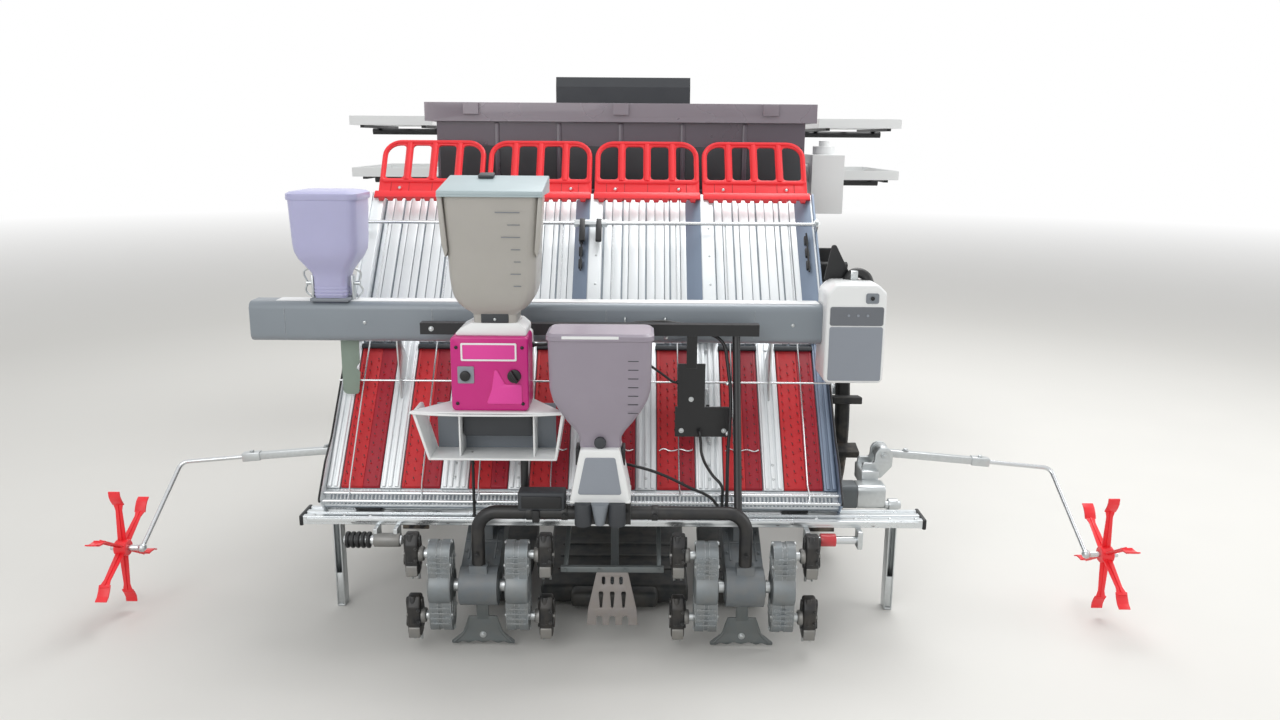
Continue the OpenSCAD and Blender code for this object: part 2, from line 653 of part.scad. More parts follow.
module spreader_body() color("#b81478") base() {
  box(-354, -184, -800, tool_y - 13.5, 570, 737);
  box(-346, -300, -806, -800, 610, 660);
  ycyl(-824, -806, -322, 635, 20);
  ycyl(-822, -800, -215, 650, 17);
}
module spreader_hopper() color("#a9a69f") base() {
  box(-334, -190, -795, -690, 737, 766);
  translate([-256, -745, 766]) linear_extrude(16) rsq(96, 90, 12);
  translate([-256, -745, 0]) funnel(96, 90, 182, 146, 782, 832);
  translate([-256, -745, 0]) funnel(182, 146, 200, 158, 832, 1040);
  slab_x(-367, -145) polygon([[-829, 1040], [-661, 1040], [-661, 1078], [-829, 1052]]);
}
module spreader_horn() color("#e8eaec") base() {
  translate([0, 0, 566]) linear_extrude(4)
    polygon([[-449, -812], [-106, -812], [-184, -690], [-354, -690]]);
  difference() {
    slab_y(-800, -710) polygon([[-411, 455], [-124, 455], [-106, 566], [-444, 566]]);
    slab_y(-801, -716) polygon([[-405, 460], [-130, 460], [-113, 562], [-437, 562]]);
  }
  for (x = [-344, -178]) box(x, x + 4, -780, -714, 458, 564);
}
module applicator_hopper() color("#8c8296") base() {
  translate([-25, -812, 504]) linear_extrude(24) rsq(92, 80, 12);
  translate([-25, -812, 0]) funnel(92, 80, 218, 120, 528, 630);
  translate([-25, -812, 630]) linear_extrude(114) rsq(222, 124, 16);
  translate([-25, -812, 744]) linear_extrude(14) rsq(230, 130, 18);
}
module applicator_body() color("#e8eaec") base() {
  slab_y(-868, -760) polygon([[-92, 383], [42, 383], [18, 504], [-68, 504]]);
  for (x = [-62, 12]) zcyl(330, 383, x, -870, 20);
  translate([-25, -872, 383]) mirror([0, 0, 1]) cylinder(r1 = 20, r2 = 10, h = 50);
}

module table_panels() color("#c9ced1") on_table() {
  box(-600, 600, -46, table_len, -8, 0);
  for (i = [-2 : 2]) {
    translate([i * row, table_len, 0]) rotate([90, 0, 0]) linear_extrude(table_len - belt_len - 20)
      polygon(i == -2 ? [[0, 0], [30, 0], [30, 30], [0, 30]] :
        i == 2 ? [[-50, 0], [0, 0], [0, 30], [-3, 30]] : [[-50, 0], [30, 0], [30, 30], [-3, 30]]);
    box(i * row - (i == -2 ? 0 : 25), i * row + (i == 2 ? 0 : 25), -2, belt_len + 20, 0, 8);
    box(i * row - (i == -2 ? 0 : 16), i * row + (i == 2 ? 0 : 16), -2, belt_len + 20, 8, 13);
  }
  for (x = [-594 : 9 : 594]) box(x - 1.5, x + 1.5, -43, -5, 0, 5);
  for (s = [-1, 1]) box(s * 600, s * 606, -45.4, table_len, -24, 38);
  for (k = rows) {
    box(k * row - 24, k * row + 24, 0, belt_len, 0, 12);
    for (x = [-105 : 30 : 105]) box(k * row + x - 5, k * row + x + 5, belt_len + 20, table_len, 0, 8);
  }
  for (x = [-560, -300, 0, 300, 560]) box(x - 15, x + 15, 0, table_len, -26, -8);
  for (t = [70, 440, rod_t2]) box(-600, 600, t, t + 24, -26, -8);
  for (x = [-500, -180, 180, 500]) translate([x, -46, -8]) rotate([-table_ang, 0, 0])
    translate([-30, 2, -7]) cube([60, 30, 13]);
}

module feed_belts() color("#c8202a") on_table() for (k = rows, d = [-belt_dx, belt_dx]) {
  box(k * row + d - belt_w / 2, k * row + d + belt_w / 2, 0, belt_len, 0, 6);
  for (t = [10 : 22 : belt_len - 10])
    box(k * row + d - belt_w / 2 + 6, k * row + d + belt_w / 2 - 6, t, t + 6, 6, 10);
}

module extension_grids() color("#f0353f") on_ext() for (k = rows) translate([k * row, 0, 0]) {
  translate([0, 2.05 * sin(ext_turn), -6]) linear_extrude(8) difference() {
    union() {
      translate([-grid_hw, 0]) square([2 * grid_hw, ext_len - 60]);
      translate([60 - grid_hw, 0]) square([2 * grid_hw - 120, ext_len]);
      for (s = [-1, 1]) translate([s * (grid_hw - 60), ext_len - 60]) circle(60);
    }
    for (i = [-1.5 : 1.5]) translate([i * 71 - 27, 48]) square([54, abs(i) > 1 ? 104 : 128]);
  }
}

module press_rods() color("#b9bdc0") on_table() {
  for (t = [22, 48]) xcyl(-606, 606, t, 46, 5);
  for (s = [-1, 1]) box(s * 600, s * 606, 10, 60, 38, 52);
  xcyl(-606, 606, rod_t1, 46, 4);
  xcyl(-606, 606, rod_t2, 50, 6);
  for (s = [-1, 1], t = [rod_t1, rod_t2]) box(s * 600, s * 606, t - 12, t + 12, 38, 54);
  for (k = rows, d = [-110, -30, 30, 110]) rod([k * row + d, 22, 44], [k * row + d, rod_t2, 48], 3);
}

module granule_beam() color("#8a9098") {
  base() slab_x(beam_x0, beam_x1) translate([beam_y, beam_z]) rsq(80, 95, 18);
  on_table() for (s = [-1, 1]) slab_x(s * 448, s * 452)
    polygon([[225, 12], [345, 12], [347, 144], [341, 150]]);
}

module granule_hopper() color("#b4b4d8") base() translate([table_dx - 596, beam_y, 0]) {
  translate([0, 0, 779.5]) linear_extrude(60) rsq(74, 70, 12);
  funnel(74, 70, 152, 135, 839.5, 909.5);
  translate([0, 0, 909.5]) linear_extrude(114) rsq(155, 138, 18);
  translate([0, 0, 1023.5]) linear_extrude(16) rsq(166, 145, 20);
}
module motor_box() color("#e8eaec") base()
  translate([beam_x1 + 70, beam_y - 21, 0]) {
    translate([0, 0, 601]) linear_extrude(206) rsq(140, 118, 14);
    funnel(128, 108, 104, 84, 807, 835);
    slab_y(26, 31) polygon([[-60, 815], [10, 815], [-34, 916], [-44, 916]]);
    slab_y(8, 34) polygon([[4, 815], [46, 815], [40, 861], [12, 861]]);
  }

module rotor_cases() color("#8d9394") base() for (s = [-1, 1]) {
  xcyl(s * (row - rotor_dx), s * (row + rotor_dx), rotor_y, rotor_z, 14);
  for (d = [-1, 1]) difference() {
    slab_x(s * (row + d * rotor_dx) - rotor_w / 2, s * (row + d * rotor_dx) + rotor_w / 2)
      translate([rotor_y, rotor_z]) {
        translate([-33, -planet_r]) square([66, 2 * planet_r]);
        for (k = [-1, 1]) translate([0, k * planet_r]) circle(33);
        circle(46);
      }
    for (k = [-1, 1])
      xcyl(s * row + s * d * (rotor_dx + 6), s * row + s * d * (rotor_dx + 30),
        rotor_y, rotor_z + k * planet_r, 10 + run);
  }
}

module arms(k) base() for (s = [-1, 1], d = [-1, 1]) {
  x = s * (row + d * row / 2);
  e = s * d;
  xcyl(x - e * 20, x - e * 56, rotor_y, rotor_z + k * planet_r, 10);
  slab_x(x - 20, x + 20) translate([rotor_y, rotor_z + k * planet_r]) {
    translate([-24, -26]) square([48, 64]);
    translate([0, 38]) circle(12);
    translate([0, -26]) circle(24);
  }
  for (c = [-8, 8]) slab_x(x + c - 3, x + c + 3) translate([rotor_y, rotor_z + k * planet_r])
    polygon([[6, -30], [20, -30], [24, -70], [18, -70]]);
}
module planting_arms_a() color("#1b1d1f") arms(1);
module planting_arms_b() color("#1b1d1f") arms(-1);

module stand(s) base() difference() {
  union() {
    box(s * (stand_x - stand_hw), s * (stand_x + stand_hw), stand_y - 18, stand_y + 18, 0, stand_z);
    xcyl(s * (stand_x - stand_hw), s * (stand_x + stand_hw), stand_y, stand_z, 20);
  }
  xcyl(s * (stand_x - 20), s * (stand_x + 20), stand_y, stand_z, pin_r + run);
}
module stand_left() color("#5c6063") stand(-1);
module stand_right() color("#5c6063") stand(1);

module marker_arm(s) base() {
  difference() {
    union() {
      ycyl(mark_y - 20, mark_y + 20, s * mark_x, mark_z, 19);
      rod([s * mark_x, mark_y, mark_z], [s * 950, mark_y, 356], 13);
    }
    ycyl(mark_y - 22, mark_y + 22, s * mark_x, mark_z, 9 + run);
  }
  rod([s * 950, mark_y, 356], [s * 1116, mark_y, 340], 6);
  ycyl(mark_y - 10, mark_y + 10, s * 1116, 340, 11);
  rod([s * 1116, mark_y, 340], [s * 1156, mwheel_y, mwheel_z], 6);
  xcyl(s * 1150, s * 1232, mwheel_y, mwheel_z, 7);
}
module marker_arm_left() color("#b9bdc0") marker_arm(-1);
module marker_arm_right() color("#b9bdc0") marker_arm(1);

module marker_wheel(s) base() translate([s * mwheel_x, mwheel_y, mwheel_z]) rotate([0, 90, 0])
  difference() {
    union() {
      cylinder(r = 20, h = 30, center = true);
      for (i = [0 : 5]) rotate([0, 0, i * 60]) {
        translate([15, -3, -11]) cube([mwheel_r - 45, 6, 22]);
        translate([mwheel_r - 42, -3, -13]) rotate([0, 0, 24]) cube([40, 5, 26]);
      }
    }
    cylinder(r = 7 + run, h = 32, center = true);
  }
module marker_wheel_left() color("#d02732") marker_wheel(-1);
module marker_wheel_right() color("#d02732") marker_wheel(1);

main_frame();
drive_case();
front_axle_case();
engine_block();
bonnet();
front_mask();
deck();
seat_pedestal();
dash_console();
fertiliser_hopper();
metering_units();
blower_housing();
rack_frames();
rack_trays();
lift_cylinder();
lift_rod();
seat_frame();
seat_cushion();
steering_wheel();
knuckle_left();
knuckle_right();
front_tyre_left();
front_tyre_right();
front_rim_left();
front_rim_right();
rear_tyre_left();
rear_tyre_right();
rear_rim_left();
rear_rim_right();
hopper_lid();
lower_links();
upper_link();
planter_frame();
planting_cases();
table_rail();
floats();
soil_plates();
tool_frame();
harness();
spreader_body();
spreader_hopper();
spreader_horn();
applicator_hopper();
applicator_body();
table_panels();
feed_belts();
extension_grids();
press_rods();
granule_beam();
granule_hopper();
motor_box();
rotor_cases();
planting_arms_a();
planting_arms_b();
stand_left();
stand_right();
marker_arm_left();
marker_arm_right();
marker_wheel_left();
marker_wheel_right();
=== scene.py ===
"""Looks of a riding rice transplanter: its finishes, moulded shells, sheet metal, rods, cables and stage."""
import json
import math
import bmesh
import bpy
from bpy.props import FloatProperty, FloatVectorProperty, IntProperty, PointerProperty
from mathutils import Matrix, Vector


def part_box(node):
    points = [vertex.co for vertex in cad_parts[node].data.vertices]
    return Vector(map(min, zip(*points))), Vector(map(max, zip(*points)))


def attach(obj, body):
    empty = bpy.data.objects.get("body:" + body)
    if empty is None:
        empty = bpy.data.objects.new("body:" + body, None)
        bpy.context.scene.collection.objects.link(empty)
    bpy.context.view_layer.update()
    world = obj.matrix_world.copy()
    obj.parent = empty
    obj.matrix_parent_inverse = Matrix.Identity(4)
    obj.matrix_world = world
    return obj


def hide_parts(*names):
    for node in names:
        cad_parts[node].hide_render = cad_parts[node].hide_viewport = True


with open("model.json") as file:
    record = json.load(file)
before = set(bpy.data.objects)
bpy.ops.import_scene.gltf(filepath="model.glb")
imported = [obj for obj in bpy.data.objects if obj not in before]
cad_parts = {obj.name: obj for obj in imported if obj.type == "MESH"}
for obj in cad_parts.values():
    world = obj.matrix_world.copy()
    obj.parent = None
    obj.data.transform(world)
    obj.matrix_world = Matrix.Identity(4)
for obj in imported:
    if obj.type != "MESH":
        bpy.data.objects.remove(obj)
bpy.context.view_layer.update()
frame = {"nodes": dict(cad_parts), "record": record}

bl_info = {
    "name": "Rice transplanter looks",
    "version": (1, 0, 0),
    "blender": (4, 5, 0),
    "location": "3D View > Sidebar > Transplanter",
    "description": "Models the shells, sheet metal, rods and finishes of a riding rice transplanter",
    "category": "Add Mesh",
}

# Shapes are drawn in millimetres, with lengths counted from the rear axle's line
MM = 0.001
AXLE_Y = sum(corner.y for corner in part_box("rear_tyre_left")) / 2
ROWS = (-1.5, -0.5, 0.5, 1.5)
SIDES = (-1, 1)
HANDS = ((-1, "left"), (1, "right"))
ROW = 300.0
# The seedling table's middle, lower edge and slope, and the slope of the grids above it
TABLE_X, TABLE_Y, TABLE_Z, TABLE_SLOPE = -74.0, -699.0, 352.0, math.radians(48.3)
TABLE_LEN, BELT_LEN, GRID_SLOPE = 855.0, 377.0, math.radians(56.2)
HALF_TABLE = 600.0
# The planting rotors' shaft and the distance of their arms' pins from it
ROTOR_Y, ROTOR_Z, PLANET_R = -820.0, 166.0, 75.0
# The lift links' pins, each marker's pivot, and its paddle wheel's middle
LINK_Y, LOW_PIN_Z, TOP_PIN_Z = -481.3, 300.2, 500.2
MARKER_X, MARKER_Y, MARKER_Z = 680.0, -480.0, 380.0
PADDLE_X, PADDLE_Y, PADDLE_Z = 1203.0, -640.0, 173.0
# Edges that turn by less than this stay smooth and unrounded
SMOOTH_ANGLE = math.radians(35)


def shift(x, y, z):
    """A move in millimetres."""
    return Matrix.Translation((x, y, z))


def turn(degrees, axis):
    """A turn about X, Y or Z."""
    return Matrix.Rotation(math.radians(degrees), 4, axis)


TABLE = shift(TABLE_X, TABLE_Y, TABLE_Z) @ Matrix.Rotation(TABLE_SLOPE, 4, "X")
GRID = (shift(TABLE_X, TABLE_Y + TABLE_LEN * math.cos(TABLE_SLOPE),
              TABLE_Z + TABLE_LEN * math.sin(TABLE_SLOPE))
        @ Matrix.Rotation(GRID_SLOPE, 4, "X"))
# Flat work stands up facing the rear, or faces the machine's right side
REAR = turn(90, "X")
SIDE = Matrix(((0, 0, 1, 0), (1, 0, 0, 0), (0, 1, 0, 0), (0, 0, 0, 1)))


def mirrored(outline, side):
    """The outline as the given side has it, still running the same way round."""
    points = [Vector((side * x, y)) for x, y in outline]
    return points if side > 0 else points[::-1]


def rearward(x, y, z):
    """The place of flat work that stands up facing the rear."""
    return shift(x, y, z) @ REAR


def sideways(x):
    """The place of flat work that stands up facing the machine's right side."""
    return shift(x, 0, 0) @ SIDE


def extent(node):
    """A CAD node's corners as millimetres from the rear axle's line."""
    low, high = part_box(node)
    home = Vector((0, AXLE_Y, 0))
    return (low - home) / MM, (high - home) / MM


# Shapes


def rounded(corners, steps=5):
    """An outline whose corners (x, y, radius) are arcs."""
    points = []
    for i, (x, y, radius) in enumerate(corners):
        corner = Vector((x, y))
        back = (Vector(corners[i - 1][:2]) - corner).normalized()
        ahead = (Vector(corners[(i + 1) % len(corners)][:2]) - corner).normalized()
        if radius <= 0:
            points.append(corner)
            continue
        half = back.angle(ahead) / 2
        centre = corner + (back + ahead).normalized() * (radius / math.sin(half))
        start = corner + back * (radius / math.tan(half)) - centre
        end = corner + ahead * (radius / math.tan(half)) - centre
        sweep = -start.angle_signed(end)
        points += [centre + Matrix.Rotation(sweep * s / steps, 2) @ start for s in range(steps + 1)]
    return points


def oblong(x0, x1, y0, y1, radius=0.0, steps=5):
    """A rectangle's outline with round corners."""
    return rounded([(x0, y0, radius), (x1, y0, radius), (x1, y1, radius), (x0, y1, radius)], steps)


def disc(x, y, radius, steps=16):
    """A circle's outline."""
    return [Vector((x, y)) + Matrix.Rotation(math.tau * s / steps, 2) @ Vector((radius, 0))
            for s in range(steps)]


def meshed(curve):
    """A curve's surface as a closed bmesh."""
    holder = bpy.data.objects.new("curve", curve)
    mesh = bpy.data.meshes.new_from_object(holder)
    bm = bmesh.new()
    bm.from_mesh(mesh)
    bmesh.ops.remove_doubles(bm, verts=bm.verts[:], dist=0.01)
    bmesh.ops.recalc_face_normals(bm, faces=bm.faces[:])
    bpy.data.objects.remove(holder)
    bpy.data.curves.remove(curve)
    bpy.data.meshes.remove(mesh)
    return bm


def plate(outline, thick, holes=(), edge=0.5):
    """Sheet cut to an outline in its own plane, with broken edges; it lies on both sides of that plane."""
    curve = bpy.data.curves.new("plate", "CURVE")
    curve.dimensions, curve.fill_mode = "2D", "BOTH"
    curve.extrude, curve.bevel_depth, curve.bevel_resolution = thick / 2 - edge, edge, 1
    curve.offset = -edge
    for ring in (outline, *holes):
        spline = curve.splines.new("POLY")
        spline.points.add(len(ring) - 1)
        for point, place in zip(spline.points, ring):
            point.co = (place[0], place[1], 0, 1)
        spline.use_cyclic_u = True
    return meshed(curve)


def tube(points, radius, sides=10, free=True, closed=False):
    """A cable or bent rod along points, as a free curve or straight from point to point."""
    curve = bpy.data.curves.new("tube", "CURVE")
    curve.dimensions, curve.fill_mode = "3D", "FULL"
    curve.bevel_depth, curve.bevel_resolution = radius, max(0, sides // 2 - 2)
    curve.use_fill_caps = True
    spline = curve.splines.new("BEZIER" if free else "POLY")
    store = spline.bezier_points if free else spline.points
    store.add(len(points) - 1)
    for point, place in zip(store, points):
        if free:
            point.co = place
            point.handle_left_type = point.handle_right_type = "AUTO"
        else:
            point.co = (*place, 1)
    spline.resolution_u = 6
    spline.use_cyclic_u = closed
    return meshed(curve)


def bent(points, radius, bend, sides=10, steps=5):
    """A rod or pipe bent on a former, with one bend radius."""
    path = [Vector(points[0])]
    for before, corner, after in zip(points, points[1:], points[2:]):
        corner = Vector(corner)
        back, ahead = (Vector(before) - corner).normalized(), (Vector(after) - corner).normalized()
        half = back.angle(ahead) / 2
        centre = corner + (back + ahead).normalized() * (bend / math.sin(half))
        start = corner + back * (bend / math.tan(half)) - centre
        axis = back.cross(ahead)
        sweep = -(math.pi - 2 * half)
        path += [centre + Matrix.Rotation(sweep * s / steps, 3, axis) @ start for s in range(steps + 1)]
    return tube(path + [Vector(points[-1])], radius, sides, free=False)


def block(x0, x1, y0, y1, z0, z1, edge=1.0, steps=2):
    """A rectangular part with rounded edges."""
    bm = bmesh.new()
    bmesh.ops.create_cube(bm, size=1.0)
    bmesh.ops.scale(bm, vec=(abs(x1 - x0), abs(y1 - y0), abs(z1 - z0)), verts=bm.verts[:])
    bmesh.ops.translate(bm, vec=((x0 + x1) / 2, (y0 + y1) / 2, (z0 + z1) / 2), verts=bm.verts[:])
    if edge:
        bevel(bm, bm.edges[:], edge, steps)
    return bm


def bevel(bm, edges, width, steps=2):
    """Rounds edges."""
    bmesh.ops.bevel(bm, geom=edges, offset=width, offset_type="OFFSET", affect="EDGES", segments=steps,
                    profile=0.5, material=-1, clamp_overlap=True)


def sharp_edges(bm, degrees=35):
    """The edges where two faces meet at more than an angle."""
    return [e for e in bm.edges if len(e.link_faces) == 2 and e.calc_face_angle() > math.radians(degrees)]


def along(start, end):
    """The place that carries the Z axis from one point towards another."""
    start, end = Vector(start), Vector(end)
    return Matrix.Translation(start) @ (end - start).to_track_quat("Z", "Y").to_matrix().to_4x4()


def bar(start, end, radius, tip=None, sides=20, edge=0.0):
    """A round bar from point to point, tapered where tip gives the far end's radius."""
    length = (Vector(end) - Vector(start)).length
    bm = bmesh.new()
    bmesh.ops.create_cone(bm, cap_ends=True, segments=sides, radius1=radius,
                          radius2=radius if tip is None else tip, depth=length)
    bmesh.ops.translate(bm, vec=(0, 0, length / 2), verts=bm.verts[:])
    if edge:
        bevel(bm, sharp_edges(bm, 50), edge)
    bm.transform(along(start, end))
    return bm


def ball(centre, radius, detail=2):
    """A round knob."""
    bm = bmesh.new()
    bmesh.ops.create_icosphere(bm, subdivisions=detail, radius=radius, matrix=Matrix.Translation(centre))
    return bm


def prism(outline, depth, edge=0.0, steps=2):
    """An outline pushed up from its plane, with rounded edges."""
    bm = bmesh.new()
    base = bm.faces.new([bm.verts.new((p[0], p[1], 0)) for p in outline])
    grown = bmesh.ops.extrude_face_region(bm, geom=[base])["geom"]
    bmesh.ops.translate(bm, vec=(0, 0, depth), verts=[v for v in grown if isinstance(v, bmesh.types.BMVert)])
    bmesh.ops.recalc_face_normals(bm, faces=bm.faces[:])
    if edge:
        bevel(bm, sharp_edges(bm), edge, steps)
    return bm


def lathe(profile, steps=40, closed=False):
    """A profile (radius, height) turned about Z."""
    bm = bmesh.new()
    verts = [bm.verts.new((r, 0, z)) for r, z in profile]
    pairs = list(zip(verts, verts[1:])) + ([(verts[-1], verts[0])] if closed else [])
    edges = [bm.edges.new(pair) for pair in pairs]
    bmesh.ops.spin(bm, geom=verts + edges, cent=(0, 0, 0), axis=(0, 0, 1), angle=math.tau, steps=steps,
                   use_merge=True, use_duplicate=False)
    bmesh.ops.remove_doubles(bm, verts=bm.verts[:], dist=0.001)
    bmesh.ops.recalc_face_normals(bm, faces=bm.faces[:])
    return bm


def loft(rings):
    """A skin through rings of (x, y, z) points, closed at both ends."""
    bm = bmesh.new()
    loops = []
    for ring in rings:
        verts = [bm.verts.new(p) for p in ring]
        loops.append([bm.edges.new((a, b)) for a, b in zip(verts, verts[1:] + verts[:1])])
    for below, above in zip(loops, loops[1:]):
        bmesh.ops.bridge_loops(bm, edges=below + above)
    for loop in (loops[0], loops[-1]):
        bmesh.ops.contextual_create(bm, geom=loop)
    bmesh.ops.recalc_face_normals(bm, faces=bm.faces[:])
    return bm


def level(x, y, z, wide, deep, radius):
    """A ring for a loft: a rectangle with round corners, lying level."""
    ring = oblong(x - wide / 2, x + wide / 2, y - deep / 2, y + deep / 2, radius)
    return [(p.x, p.y, z) for p in ring]


def skin(x, y, sections):
    """A closed moulding through level sections (height, width, depth, corner radius)."""
    return loft([level(x, y, z, wide, deep, radius) for z, wide, deep, radius in sections])


def bolt(across, tall):
    """A hexagon head on its washer, standing on the origin along Z."""
    bm = bar((0, 0, 0), (0, 0, 1.5), across * 0.85, sides=16)
    head = bar((0, 0, 1.5), (0, 0, 1.5 + tall), across * 0.577, sides=6, edge=0.8)
    merge(bm, head)
    return bm


def screw(radius):
    """A pan head, hollow in its middle, standing on the origin along Z."""
    r = radius
    return lathe([(0, r * 0.35), (r * 0.3, r * 0.35), (r * 0.36, r * 0.62), (r * 0.75, r * 0.5),
                  (r, r * 0.15),
                  (r, 0), (0, 0)], 14)


def merge(bm, other):
    """Adds one bmesh to another and frees it."""
    mesh = bpy.data.meshes.new("part")
    other.to_mesh(mesh)
    other.free()
    bm.from_mesh(mesh)
    bpy.data.meshes.remove(mesh)


class Piece:
    """Shapes gathered into one object that rides on a body."""

    def __init__(self, name, body, slot, stands_for=()):
        self.name, self.body, self.slot, self.stands_for = name, body, slot, stands_for
        self.bm, self.finishes = bmesh.new(), []

    def add(self, part, finish, places=(Matrix(),)):
        """Adds copies of a part, each at its place, in one finish."""
        if finish not in self.finishes:
            self.finishes.append(finish)
        mesh = bpy.data.meshes.new("part")
        for face in part.faces:
            face.material_index = self.finishes.index(finish)
        part.to_mesh(mesh)
        part.free()
        for place in places:
            copy = mesh.copy()
            copy.transform(place)
            if place.determinant() < 0:
                copy.flip_normals()
            self.bm.from_mesh(copy)
            bpy.data.meshes.remove(copy)
        bpy.data.meshes.remove(mesh)

    def place(self):
        """Makes the object, in metres, and hangs it on its body."""
        mesh = bpy.data.meshes.new(self.name)
        self.bm.transform(Matrix.Translation((0, AXLE_Y, 0)) @ Matrix.Scale(MM, 4))
        self.bm.to_mesh(mesh)
        self.bm.free()
        for finish in self.finishes:
            mesh.materials.append(finish)
        hang(mesh, self.name, self.body, self.stands_for)


def hang(mesh, name, body, stands_for):
    """Links a finished mesh as a piece of the machine."""
    mesh.polygons.foreach_set("use_smooth", [True] * len(mesh.polygons))
    mesh.set_sharp_from_angle(angle=SMOOTH_ANGLE)
    obj = bpy.data.objects.new(name, mesh)
    bpy.context.scene.collection.objects.link(obj)
    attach(obj, body)
    if stands_for:
        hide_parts(*stands_for)
    return obj


def body_of(node):
    """The name of the body that a CAD node rides on."""
    groups = frame["record"]["behaviour"]["bodies"]
    return next(body for body, nodes in groups.items() if node in nodes)


def slot_of(node):
    """The record's material slot of a CAD node."""
    return next(part["material_slot"] for part in frame["record"]["subparts"] if part["node"] == node)


def stand_in(name, *nodes):
    """A piece that shows in place of CAD nodes of one body."""
    return Piece(name, body_of(nodes[0]), slot_of(nodes[0]), nodes)


def dress(node, finish, edge):
    """A copy of a CAD solid with its sharp edges rounded, as casting, bending or welding leaves them."""
    bm = bmesh.new()
    bm.from_mesh(frame["nodes"][node].data)
    bmesh.ops.remove_doubles(bm, verts=bm.verts[:], dist=2e-5)
    bmesh.ops.dissolve_limit(bm, angle_limit=math.radians(0.5), verts=bm.verts[:], edges=bm.edges[:])
    mesh = bpy.data.meshes.new(node + "_dressed")
    bm.to_mesh(mesh)
    bm.free()
    mesh.materials.append(finish)
    obj = hang(mesh, node + "_dressed", body_of(node), [node])
    soft = obj.modifiers.new("Rounded edges", "BEVEL")
    soft.width, soft.segments, soft.limit_method = edge * MM, 2, "ANGLE"
    soft.angle_limit, soft.harden_normals, soft.use_clamp_overlap = SMOOTH_ANGLE, True, True


# Finishes


def linear(code):
    """An sRGB hex colour as linear RGBA."""
    parts = [int(code[i:i + 2], 16) / 255 for i in (1, 3, 5)]
    return (*[c / 12.92 if c <= 0.04045 else ((c + 0.055) / 1.055) ** 2.4 for c in parts], 1.0)


def add_node(tree, kind, links=None, **settings):
    """Adds a shader node, sets its properties, and sets or links its inputs."""
    node = tree.nodes.new(kind)
    for key, value in settings.items():
        setattr(node, key, value)
    for key, value in (links or {}).items():
        if isinstance(value, bpy.types.NodeSocket):
            tree.links.new(value, node.inputs[key])
        else:
            node.inputs[key].default_value = value
    return node


